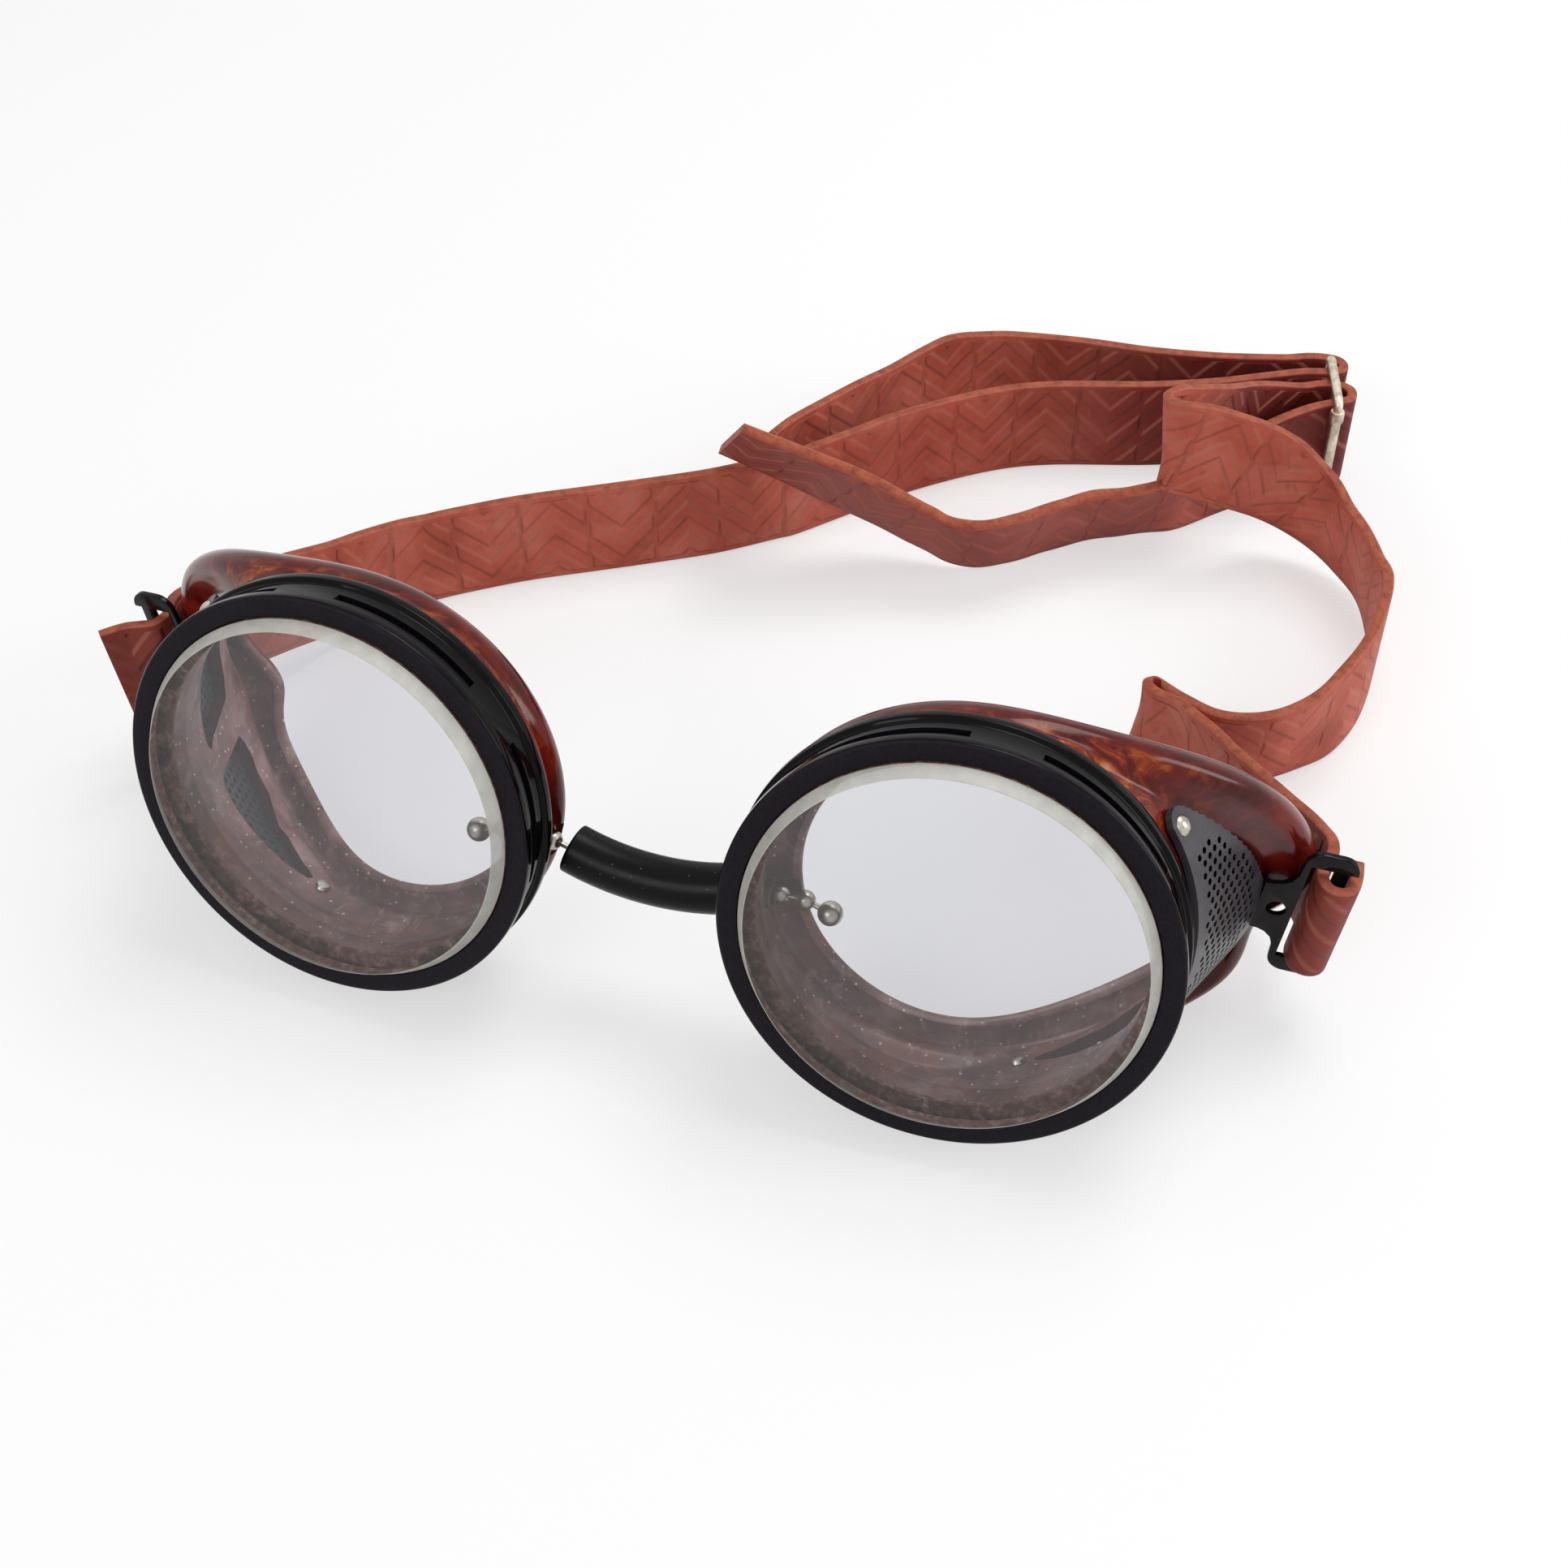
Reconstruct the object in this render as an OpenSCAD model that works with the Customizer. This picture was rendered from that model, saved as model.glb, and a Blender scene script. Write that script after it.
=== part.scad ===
// Safety goggles: two round eyecups on a bead chain bridge, perforated side
// shields with strap tabs, screw-on lens rings and a two-piece buckled strap.
// Units are millimetres, +Z is up and the lenses face -Y.

/* [Display] */
// which piece to draw

/* [Placing of the eyecups] */
// half the distance between the two lens ring centres
cup_half_span = 38.7; // [36:0.1:42]
// height of the lens ring centre above the table
cup_height = 28.3; // [26:0.05:30]
// how far each lens leans back from upright
cup_tilt = 15; // [0:0.5:30]
// how far each lens turns towards its temple
cup_yaw = 2.5; // [0:0.5:10]

/* [Lens and its ring] */
// glass radius over the seated flange
lens_r = 24.9; // [24:0.05:26]
// glass radius at the foot of the bevel
bevel_foot_r = 24.25; // [23.5:0.05:24.35]
// glass radius of the flat front face
lens_face_r = 23.25; // [22:0.05:24]
// how far the bevelled glass stands out of the ring
lens_proud = 1.7; // [1:0.05:2.2]
// depth of the seated flange of the glass
lens_flange = 0.9; // [0.6:0.05:1.5]
// outer radius of the ring's front flange
ring_r = 27; // [26:0.1:28]
// thickness of the ring's front flange
ring_flange = 1.6; // [1:0.1:2]
// thickness of the lip over the glass
ring_lip = 1.2; // [0.8:0.05:1.5]
// radius of the opening in the lip
ring_opening_r = 24.4; // [23:0.05:24.8]
// outer radius of the ring's skirt
skirt_r = 26.3; // [25.8:0.05:26.8]
// outer radius of the rear bead
bead_r = 26.9; // [26.5:0.05:27]
// overall depth of the ring
ring_depth = 7.5; // [6:0.1:9]
// depth of the rear bead
bead_depth = 1.5; // [1:0.1:2]
// free play between the ring's bore and the cup's neck
neck_clearance = 0.05; // [0.02:0.01:0.1]
// free play between the glass flange and the ring's lip
seat_play = 0.03; // [0.02:0.01:0.1]
// number of long vent slots round the skirt
slot_count = 6; // [4:1:8]
// width of a vent slot
slot_w = 1.3; // [0.8:0.1:1.6]
// web left between two slots in degrees
slot_web = 18; // [10:1:30]
// inner radius of the gasket
gasket_in_r = 22.8; // [22:0.1:23.5]
// thickness of the gasket
gasket_t = 0.7; // [0.4:0.05:1]

/* [Eyecup shell] */
// wall thickness of the moulded cup
wall = 1.5; // [1.2:0.1:2]
// inner radius of the neck
neck_in_r = 23.3; // [23:0.05:23.6]
// rim centre line radius on the nose side
rim_r = 23.8; // [23:0.1:25]
// extra rim radius towards the temple
rim_r_temple = 12.3; // [8:0.1:14]
// rim centre line depth on the nose side
rim_d = 11.8; // [11:0.1:14]
// extra rim depth towards the temple
rim_d_temple = 21; // [14:0.1:24]
// radius of the rolled rim
roll_r = 2.6; // [2:0.1:3]
// extra radius of the roll at the temple
roll_r_temple = 0.8; // [0:0.1:1.5]
// slope of the temple wall
wall_slope = 0.37; // [0.2:0.01:0.5]
// direction in which the temple wall flares most, in degrees
wall_dir = 6; // [-20:1:20]

/* [Side shield] */
// sheet thickness of the shield
sheet = 0.8; // [0.5:0.05:1]
// gap between the shield and the wall under it
shield_gap = 0.15; // [0.05:0.01:0.3]
// diameter of one perforation
hole_d = 0.55; // [0.4:0.05:0.8]
// spacing of the perforations
hole_pitch = 1.7; // [1:0.05:2.4]
// rivet head radius
rivet_r = 1.25; // [1:0.05:1.6]
// rivet shank radius
rivet_shank_r = 0.6; // [0.5:0.05:0.8]

/* [Strap tab] */
// distance of the tab's outer bar from the lens axis
tab_out = 40.9; // [38:0.1:44]
// depth of the bar behind the lens ring's front
tab_back = 28.1; // [26:0.1:34]
// height of the bar above the lens axis
tab_up = -3.5; // [-10:0.1:0]
// overall length of the bar with its ears
tab_len = 21.6; // [18:0.1:22]
// length of the slot for the strap
tab_slot_len = 16.8; // [16:0.1:18]
// width of the slot for the strap
tab_slot_w = 2.7; // [2.4:0.1:3]
// width of the outer bar
tab_bar_w = 1.8; // [1.5:0.1:2.5]
// diameter of the spare hole in the tab
tab_hole_d = 2.4; // [2:0.1:3]
// reach of the tab's neck from the bar to the sheet
tab_neck = 8; // [7.7:0.1:8.2]
// distance from the hole to the bar
tab_hole_x = 5.7; // [5.6:0.1:6.5]

/* [Chain bridge] */
// diameter of a chain bead
bead_d = 2.5; // [2:0.1:3]
// diameter of the two stop balls
stop_d = 3.1; // [2.9:0.1:3.6]
// spacing of the beads
bead_pitch = 3.25; // [3:0.05:3.6]
// diameter of the dumb-bell links
link_d = 0.7; // [0.5:0.05:0.9]
// free play between a link's end and its bead
link_play = 0.01; // [0.01:0.01:0.05]
// outer diameter of the rubber sleeve
sleeve_od = 6.3; // [5:0.1:8]
// bore of the rubber sleeve
sleeve_id = 3.3; // [2.8:0.1:4]
// radius of the sleeve's bend
sleeve_bend = 38; // [30:1:60]
// arc length of the sleeve
sleeve_len = 22.4; // [20:0.1:24]
// bore of the brass eyelet
eyelet_bore = 3; // [2.6:0.05:3.05]

/* [Strap and buckle] */
// strap width
strap_w = 15.6; // [14:0.1:18]
// strap thickness
strap_t = 1.5; // [1.2:0.1:2]
// wire diameter of the buckle
wire_d = 1.4; // [1.2:0.1:1.8]
// height of the buckle over its wires
buckle_h = 19; // [18:0.5:21]

/* [Hidden] */
shift = [1.43, -69.56, 0];
ring_bore_r = lens_r + neck_clearance;
lens_seat = ring_lip + seat_play;
lens_back = lens_seat + lens_flange;
neck_front = lens_back + gasket_t;
neck_back = 7.6;
phi_steps = 64;
shield_r = 25.45 + shield_gap + sheet;
shield_d0 = 8.3;
rivet_top = [33, 11.9];
rivet_low = [-69.5, 12.7];
chain_x = 14.6;
chain_y = 8.4;
chain_z = 21.6;
bead_count = 15;
// tab frame in eyecup coordinates: w points outward, u along the bar
tab_w = unit([0.992, 0.088, -0.0925]);
tab_n = unit(cross(tab_w, [0.113, -0.267, 0.958]));
tab_u = cross(tab_n, tab_w);

// shared maths
function c01(a) = (1 + cos(a)) / 2;
function unit(v) = v / norm(v);
function dip(a) = pow((1 - sin(a)) / 2, 4);
function notch(a) = exp(-pow((a + 14) / 9, 2));
function angle180(a) = a > 180 ? a - 360 : a;
function roll(a) = roll_r + roll_r_temple * pow(c01(a + 8), 4) - 0.75 * dip(a);
function rim_radius(a) = rim_r + rim_r_temple * pow(c01(a + 1.5), 6.1) - 0.8 * sin(a)
    - 2.1 * dip(a) - 3.6 * notch(a);
function rim_depth(a) = rim_d + rim_d_temple * pow(c01(a + 11), 6) - 0.4 * sin(a);
function wall_r(a, d) =
    let(c = wall_slope * (d - shield_d0))
    let(b = a - wall_dir)
    cos(b) > 0 ? c * cos(b) + sqrt(25.45 * 25.45 - pow(c * sin(b), 2)) : 25.45;
function catmull(a, b, c, d, t) = 0.5 * (2 * b + (c - a) * t + (2 * a - 5 * b + 4 * c - d) * t * t
    + (3 * b - a - 3 * c + d) * t * t * t);
function smooth(p, n) = [
    for (i = [0 : len(p) - 2])
        for (k = [0 : n - 1])
            catmull(p[max(i - 1, 0)], p[i], p[i + 1], p[min(i + 2, len(p) - 1)], k / n),
    p[len(p) - 1]];
function left_of(v) = unit([v[1], -v[0]]);
function along(p, i) = p[min(i + 1, len(p) - 1)] - p[max(i - 1, 0)];

// eyecup section: middle line of the wall as [radius, depth]
function section(a) =
    let(R = rim_radius(a))
    let(D = rim_depth(a))
    let(q = roll(a) - wall / 2)
    let(dv = max(9.5, D - roll(a) - 0.9))
    let(rv = wall_r(a, dv) - wall / 2)
    concat([[24.45, 8.2]], smooth([
        [wall_r(a, 8.9) - wall / 2, 8.9],
        [rv, dv],
        [max(R + q * 0.5, min(rv, R + q)), D - q * 0.87],
        [R + q * 0.97, D - q * 0.1],
        [R + q * 0.7, D + q * 0.75],
        [R - q * 0.15, D + q],
        [R - 1.9, D + q * 0.95],
        [R - 3.1, D + 1]], 2));
function skin(a) =
    let(m = section(angle180(a)))
    concat(
        [[neck_in_r, neck_front], [neck_in_r, neck_back]],
        [for (i = [0 : len(m) - 1]) m[i] - left_of(along(m, i)) * wall / 2],
        [for (i = [len(m) - 1 : -1 : 0]) m[i] + left_of(along(m, i)) * wall / 2],
        [[lens_r, neck_back], [lens_r, neck_front]]);
function turn(p, a) = [p[0] * cos(a), p[1], p[0] * sin(a)];

module shell() {
    rings = [for (i = [0 : phi_steps - 1]) skin(i * 360 / phi_steps)];
    n = len(rings[0]);
    points = [for (i = [0 : phi_steps - 1]) for (p = rings[i]) turn(p, i * 360 / phi_steps)];
    faces = [for (i = [0 : phi_steps - 1]) for (j = [0 : n - 1]) for (k = [0, 1])
        let(i2 = (i + 1) % phi_steps)
        let(j2 = (j + 1) % n)
        k == 0 ? [i * n + j, i2 * n + j, i2 * n + j2] : [i * n + j, i2 * n + j2, i * n + j2]];
    polyhedron(points = points, faces = faces, convexity = 6);
}

// radial prism over a convex outline given as [angle, depth]
module wedge(given, r1, r2) {
    n = len(given);
    area = [for (i = [0 : n - 1]) given[i][0] * given[(i + 1) % n][1] - given[(i + 1) % n][0] * given[i][1]]
        * [for (i = [0 : n - 1]) 1];
    outline = area < 0 ? given : [for (i = [n - 1 : -1 : 0]) given[i]];
    inner = [for (p = outline) [r1 * cos(p[0]), p[1], r1 * sin(p[0])]];
    outer = [for (p = outline) [r2 * cos(p[0]), p[1], r2 * sin(p[0])]];
    mid_a = [for (p = outline) p[0]] * [for (p = outline) 1 / n];
    mid_d = [for (p = outline) p[1]] * [for (p = outline) 1 / n];
    hubs = [[r1 * cos(mid_a), mid_d, r1 * sin(mid_a)], [r2 * cos(mid_a), mid_d, r2 * sin(mid_a)]];
    polyhedron(points = concat(inner, outer, hubs), faces = concat(
        [for (i = [0 : n - 1]) [i, (i + 1) % n, 2 * n]],
        [for (i = [0 : n - 1]) [n + (i + 1) % n, n + i, 2 * n + 1]],
        [for (i = [0 : n - 1]) [(i + 1) % n, i, n + i]],
        [for (i = [0 : n - 1]) [(i + 1) % n, n + i, n + (i + 1) % n]]), convexity = 4);
}

// depth axis helper: turns a solid of revolution about +Z onto +Y
module facing() {
    rotate([-90, 0, 0]) children();
}

// puts a piece given in eyecup coordinates on the right or left side
module cup_place(side) {
    translate(shift) mirror([side < 0 ? 1 : 0, 0, 0])
        translate([cup_half_span, 0, cup_height])
            rotate([0, 0, cup_yaw]) rotate([-cup_tilt, 0, 0]) children();
}

module ring_profile() {
    polygon([[ring_opening_r, 0], [ring_r - 0.3, 0], [ring_r, 0.3], [ring_r, ring_flange],
        [skirt_r, ring_flange + 0.4], [skirt_r, ring_depth - bead_depth - 0.3],
        [bead_r, ring_depth - bead_depth], [bead_r, ring_depth - 0.3], [bead_r - 0.3, ring_depth],
        [ring_bore_r, ring_depth], [ring_bore_r, ring_lip], [ring_opening_r, ring_lip]]);
}

module lens_ring() {
    span = 360 / slot_count - slot_web;
    color([0.06, 0.05, 0.07]) facing() difference() {
        rotate_extrude($fn = 128) ring_profile();
        for (k = [0 : slot_count - 1])
            rotate([0, 0, k * 360 / slot_count - span / 2 + 8]) rotate_extrude(angle = span, $fn = 96)
                translate([skirt_r - 0.75, 2.9]) square([1.5, slot_w]);
    }
}

module lens() {
    color([0.85, 0.88, 0.9, 0.35]) facing() rotate_extrude($fn = 128)
        polygon([[0, -lens_proud], [lens_face_r, -lens_proud], [bevel_foot_r, -0.1],
            [bevel_foot_r, lens_seat], [lens_r, lens_seat], [lens_r, lens_back], [0, lens_back]]);
}

module lens_gasket() {
    color([0.25, 0.2, 0.18]) facing() rotate_extrude($fn = 96)
        polygon([[gasket_in_r, lens_back], [lens_r, lens_back], [lens_r, neck_front],
            [gasket_in_r, neck_front]]);
}

// seat of a rivet on the sheet's outer face, square to it
module rivet_frame(at) {
    c = wall_slope * (at[1] - shield_d0);
    b = at[0] - wall_dir;
    g = b + asin(c * sin(b) / 25.45);
    rotate([0, -wall_dir, 0]) translate([c, 0, 0]) rotate([0, -g, 0]) translate([shield_r, at[1], 0])
        rotate([0, 0, -atan(wall_slope * cos(g))]) rotate([0, 90, 0]) children();
}

module eyecup() {
    color([0.32, 0.08, 0.05]) difference() {
        shell();
        wedge([[-15, 13.6], [-9, 23.2], [-4, 23.8], [5, 22.4], [17, 18.4], [23, 14.8], [22, 13], [14, 12.5], [-2, 12.5], [-12, 12.8]], 20, 42);
        wedge([[-24, 13.4], [-20, 22.8], [-23, 23.4], [-32, 21.8], [-46, 17.6], [-60, 14.8], [-65, 13.6],
            [-64, 12.9], [-56, 12.5], [-38, 12.4], [-27, 12.6]], 20, 42);
        for (at = [rivet_top, rivet_low])
            rivet_frame(at) translate([0, 0, -6]) cylinder(r = rivet_shank_r + 0.02, h = 12, $fn = 24);
        chain_line() union() {
            cylinder(r = eyelet_bore / 2 + 0.35, h = 10, center = true, $fn = 40);
            translate([0, 0, -5]) cylinder(r = eyelet_bore / 2 + 0.8, h = 4.1, $fn = 40);
            translate([0, 0, 0.68]) cylinder(r = eyelet_bore / 2 + 0.7, h = 4, $fn = 40);
        }
    }
}

// where the chain runs through the nose wall, in eyecup coordinates
module chain_line() {
    rotate([cup_tilt, 0, 0]) rotate([0, 0, -cup_yaw])
        translate([chain_x - cup_half_span, chain_y, chain_z - cup_height])
            rotate([0, 90, 0]) children();
}

module shield_sheet() {
    a = atan(wall_slope);
    intersection() {
        rotate([0, -wall_dir, 0]) rotate([0, 0, 0]) multmatrix([[1, wall_slope, 0, -wall_slope * shield_d0],
            [0, 1, 0, 0], [0, 0, 1, 0], [0, 0, 0, 1]])
            facing() difference() {
                translate([0, 0, 8]) cylinder(r = shield_r, h = 22, $fn = 96);
                translate([0, 0, 7]) cylinder(r = shield_r - sheet, h = 24, $fn = 96);
            }
        wedge(smooth([[35, 10.2], [37.6, 11.2], [37.6, 13.2], [30.5, 16.4], [19.5, 20.7], [11, 23.9], [3.5, 26.3],
            [-1, 27.4], [-10, 28.2], [-15, 27.6], [-22, 26], [-32, 23.6], [-47, 19.2], [-60, 16],
            [-70, 15], [-73.8, 13.6], [-73.5, 11.4], [-70, 10.4], [-40, 10], [-18, 9.9], [10, 10], [35, 10.2]], 3), 18, 44);
    }
}

module tab_frame() {
    multmatrix([[tab_w[0], tab_u[0], tab_n[0], tab_out], [tab_w[1], tab_u[1], tab_n[1], tab_back],
        [tab_w[2], tab_u[2], tab_n[2], tab_up], [0, 0, 0, 1]]) children();
}

module rounded(w, h, r) {
    union() {
        square([w - 2 * r, h], center = true);
        square([w, h - 2 * r], center = true);
        for (x = [-1, 1]) for (y = [-1, 1])
            translate([x * (w / 2 - r), y * (h / 2 - r)]) circle(r = r, $fn = 32);
    }
}

module tab_plate() {
    tab_frame() translate([0, 0, -sheet / 2]) linear_extrude(sheet) difference() {
        union() {
            translate([-1.25, 0]) rounded(6.4, tab_len, 2.2);
            translate([-tab_neck, -4]) square([tab_neck - 3, 8]);
        }
        translate([-tab_bar_w / 2 - tab_slot_w / 2, 0]) square([tab_slot_w, tab_slot_len], center = true);
        translate([tab_bar_w / 2 + 2, 0]) square([4, tab_slot_len], center = true);
        translate([-tab_hole_x, 0]) circle(d = tab_hole_d, $fn = 40);
    }
}

// staggered rows of holes, kept clear of the rear edge and the rivets
function rear_edge(a) = 27.6 - (a > -8 ? 0.0085 : 0.0042) * pow(a + 8, 2);
module perforations() {
    step = hole_pitch * 2;
    for (i = [-15 : 11]) for (j = [0 : 16])
        let(a = i * step - 2.5 + (j % 2) * step / 2)
        let(d = 12.6 + j * hole_pitch * 0.87)
        if (a < 24.5 && d < rear_edge(a) - 2.4 && d < 24.5)
            rotate([0, -a, 0]) translate([22, d, 0]) rotate([0, 90, 0])
                cylinder(d = hole_d, h = 20, $fn = 14);
}

module side_shield() {
    color([0.12, 0.12, 0.14]) difference() {
        union() {
            shield_sheet();
            tab_plate();
        }
        perforations();
        for (at = [rivet_top, rivet_low])
            rivet_frame(at) translate([0, 0, -6]) cylinder(r = rivet_shank_r + 0.02, h = 12, $fn = 24);
    }
}

module shield_rivets() {
    color([0.75, 0.72, 0.66]) for (at = [rivet_top, rivet_low])
        rivet_frame(at) rotate_extrude($fn = 36)
            polygon([[0, 0.62], [0.5, 0.56], [0.95, 0.36], [rivet_r, 0.02], [rivet_shank_r, 0.02],
                [rivet_shank_r, -2.7], [1.05, -2.7], [0.8, -3.1], [0, -3.2]]);
}

module chain_eyelet() {
    b = eyelet_bore / 2;
    color([0.72, 0.53, 0.25]) chain_line() rotate_extrude($fn = 48)
        polygon([[b, -1.3], [b + 0.7, -1.3], [b + 0.7, -0.95], [b + 0.3, -0.95], [b + 0.3, 0.7],
            [b + 0.6, 0.7], [b + 0.6, 1], [b, 1]]);
}

function bead_size(i) = i == 0 || i == bead_count - 1 ? stop_d : bead_d;
function bead_x(i) = (i - (bead_count - 1) / 2) * bead_pitch;
function bead_drop(i) = abs(i - 7) > 6.5 ? 0.9 : max(0, 2 - pow(bead_x(i), 2) / (2 * sleeve_bend));
function bead_at(i) = [bead_x(i), chain_y - 0.5 * bead_drop(i), chain_z - 0.87 * bead_drop(i)];

module chain_beads() {
    color([0.78, 0.77, 0.74]) translate(shift) for (i = [0 : bead_count - 1])
        translate(bead_at(i)) sphere(d = bead_size(i), $fn = 36);
}

module rod(a, b, d) {
    v = b - a;
    translate(a) rotate([0, acos(v[2] / norm(v)), atan2(v[1], v[0])])
        cylinder(d = d, h = norm(v), $fn = 20);
}

// each dumb-bell link ends at the skin of its two beads
module chain_links() {
    color([0.7, 0.69, 0.66]) translate(shift) for (i = [0 : bead_count - 2])
        let(v = unit(bead_at(i + 1) - bead_at(i)))
            rod(bead_at(i) + v * (bead_size(i) / 2 + link_play), bead_at(i + 1) - v * (bead_size(i + 1) / 2 + link_play), link_d);
}

module bridge_sleeve() {
    half = sleeve_len / sleeve_bend * 57.3 / 2;
    color([0.08, 0.08, 0.09]) translate(shift) translate([0.7, chain_y - 1, chain_z - 0.87 * 2])
        rotate([60, 0, 0]) translate([0, sleeve_bend, 0]) rotate([0, 0, -90 - half])
            rotate_extrude(angle = 2 * half, $fn = 180) translate([sleeve_bend, 0])
                difference() {
                    circle(d = sleeve_od, $fn = 36);
                    circle(d = sleeve_id, $fn = 32);
                }
}

// band of constant width: stations are [x, y, z, up_x, up_y, up_z] of the middle line
function band_pt(s) = [s[0], s[1], s[2]];
function band_up(s) = unit([s[3], s[4], s[5]]);
module band(stations, n) {
    s = smooth(stations, n);
    m = [for (p = s) band_pt(p)];
    corners = [for (i = [0 : len(s) - 1])
        let(t = unit(m[min(i + 1, len(m) - 1)] - m[max(i - 1, 0)]))
        let(u0 = band_up(s[i]))
        let(u = unit(u0 - t * (u0 * t)))
        let(k = cross(t, u) * strap_t / 2)
        [m[i] - u * strap_w / 2 - k, m[i] + u * strap_w / 2 - k,
            m[i] + u * strap_w / 2 + k, m[i] - u * strap_w / 2 + k]];
    last = 4 * (len(s) - 1);
    polyhedron(points = [for (c = corners) for (p = c) p], faces = concat(
        [[3, 2, 1, 0], [last, last + 1, last + 2, last + 3]],
        [for (i = [0 : len(s) - 2]) for (j = [0 : 3])
            [4 * i + j, 4 * i + (j + 1) % 4, 4 * i + 4 + (j + 1) % 4, 4 * i + 4 + j]]), convexity = 10);
}

// station on the loop round a tab bar: right side values, w outward and n rearward
bar_c = [78.4, 27.9, 17.2];
bar_w = [0.988, 0.104, -0.112];
bar_n = [-0.103, 0.995, 0.017];
bar_u = [0.113, -0.005, 0.994];
function at_bar(side, w, n) =
    let(p = bar_c + bar_w * w + bar_n * n)
    [side * p[0], p[1], p[2], side * bar_u[0], bar_u[1], bar_u[2]];
function lift(x, y, h) = [x, y, strap_w / 2 + 0.1 + h, 0, 0, 1];
function stand(x, y) = lift(x, y, 0);

left_route = [
    at_bar(-1, 4.5, -5.6), at_bar(-1, 3.3, -4.3), at_bar(-1, 1.9, -3.1), at_bar(-1, 0.2, -2.3),
    at_bar(-1, -1.6, -1.3), at_bar(-1, -2, 1), at_bar(-1, -1, 4.2),
    [-75.2, 39, 15, -0.08, 0, 1], [-72.2, 47, 12.6, -0.05, 0, 1], [-68.6, 54.6, 10.3, 0, 0, 1],
    [-65.9, 59.8, 9.2, 0, 0, 1], [-62.8, 64, 8.6, 0, 0, 1],
    stand(-59.4, 67.8), stand(-55.6, 70.8), stand(-47.6, 76.4), stand(-39.1, 81.3), stand(-30.6, 86.2),
    stand(-22.1, 91.4), stand(-14.4, 97.4), stand(-11.9, 99.4), stand(-6.2, 105.8), stand(1.6, 114.6),
    stand(12.3, 123.6), stand(21.5, 128.5), stand(36.1, 133), lift(45.9, 135.9, 0.7), lift(53.2, 138.7, 1.4),
    lift(58.4, 141, 1.7), lift(61.8, 142.1, 1.7), lift(64, 143.1, 1.7), lift(64.3, 144.7, 1.7), lift(62.8, 146, 1.7),
    lift(59.4, 145.9, 1.6), lift(54.8, 144.7, 1.2), lift(44.7, 143.2, 0.5), stand(34.2, 142.4), stand(23.7, 141.8),
    stand(13.3, 140.4), stand(8.3, 139), stand(2.9, 136.4), stand(-0.5, 131.6), stand(-4.1, 125.2),
    stand(-7.8, 119.7), stand(-11.3, 113.8), stand(-14.7, 107.8), stand(-16.5, 103)];

right_route = [
    at_bar(1, 2.1, 3.4), at_bar(1, 2.05, 1), at_bar(1, 1.5, -1.3), at_bar(1, 0, -2),
    at_bar(1, -1.5, -1.3), at_bar(1, -2, 1), at_bar(1, -1, 4),
    [76.3, 34.5, 16.8, 0.1, 0, 1], [73.5, 38.9, 15.8, 0.05, 0, 1], [68.2, 44.4, 14.9, 0, 0, 1], [64.2, 49, 13.4, 0, 0, 1],
    [60.3, 54, 11.9, 0, 0, 1], [55.4, 59, 10.2, 0.1, -0.05, 1], [51.6, 61.9, 9, 0.17, -0.1, 1],
    [49.7, 63.9, 8.4, 0.17, -0.1, 1], [49.7, 65.7, 8.2, 0.1, -0.1, 1], [51.8, 66.1, 8, 0, -0.15, 1],
    [55.4, 65, 7.9, 0, -0.22, 1], [59.6, 63.8, 7.8, 0, -0.24, 1], [63.8, 64.3, 7.8, 0, -0.24, 1],
    [67.7, 66.4, 7.8, 0, -0.24, 1], [71.3, 70, 7.9, 0, -0.2, 1], [74.4, 74.8, 7.95, -0.05, -0.1, 1],
    [76.8, 81.6, 8, -0.03, -0.03, 1], [77.9, 89.4, 8, 0, 0, 1], [77.8, 96.8, 8, 0, 0, 1],
    [76.5, 101.4, 8, -0.07, -0.08, 1], [73.9, 107.4, 8.4, -0.1, -0.15, 1],
    [70.2, 111.4, 9.4, -0.05, -0.2, 1], [66, 114.2, 11.2, 0, -0.15, 1], [61.3, 115.1, 13.6, -0.05, -0.1, 1],
    [56, 114.4, 16.6, -0.05, 0, 1], [49.6, 112.2, 19.5, -0.08, 0, 1], [44.4, 110.2, 21.5, -0.1, 0, 1],
    [42.6, 110.8, 21.6, -0.1, 0, 1], [43, 113, 21.2, -0.05, 0, 1], [45.6, 117, 19.4, 0, 0, 1],
    [49, 122.4, 16.6, 0, 0, 1], [52.8, 129.4, 13.2, 0, 0, 1], [57.6, 135.3, 10.2, 0, 0, 1],
    [61.6, 138.6, 9.6, 0, 0, 1], [64.4, 139.2, 9.6, 0, 0, 1], [66.4, 138.2, 9.6, 0, 0, 1],
    [66.6, 136, 9.6, 0, 0, 1], [65, 134.7, 9.6, 0, 0, 1], [61.2, 132.2, 9.4, 0, 0, 1],
    [55.5, 127.8, 8.7, 0.05, -0.08, 1], [49.5, 121.6, 8.1, 0, -0.25, 1], [43.9, 114.6, 7.8, 0, -0.45, 0.9],
    [38, 110.8, 7.4, 0, -0.5, 0.86], [32.5, 107.6, 7.5, 0, -0.5, 0.86], [28, 103.8, 7.5, 0.03, -0.52, 0.86],
    [23.1, 99.3, 7.5, 0, -0.54, 0.85], [18.6, 96.2, 7.6, 0.03, -0.5, 0.86], [14.4, 95, 8.3, 0, -0.48, 0.87],
    [10, 95, 9.8, 0.06, -0.48, 0.87], [4.5, 94.4, 12.5, 0.1, -0.5, 0.86],
    [-1.5, 92.9, 16, 0.2, -0.5, 0.85], [-8, 91, 19.6, 0.3, -0.52, 0.8], [-18, 88.8, 24.2, 0.41, -0.54, 0.74]];

module left_strap() {
    color([0.55, 0.22, 0.16]) translate(shift) band(left_route, 3);
}

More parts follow.
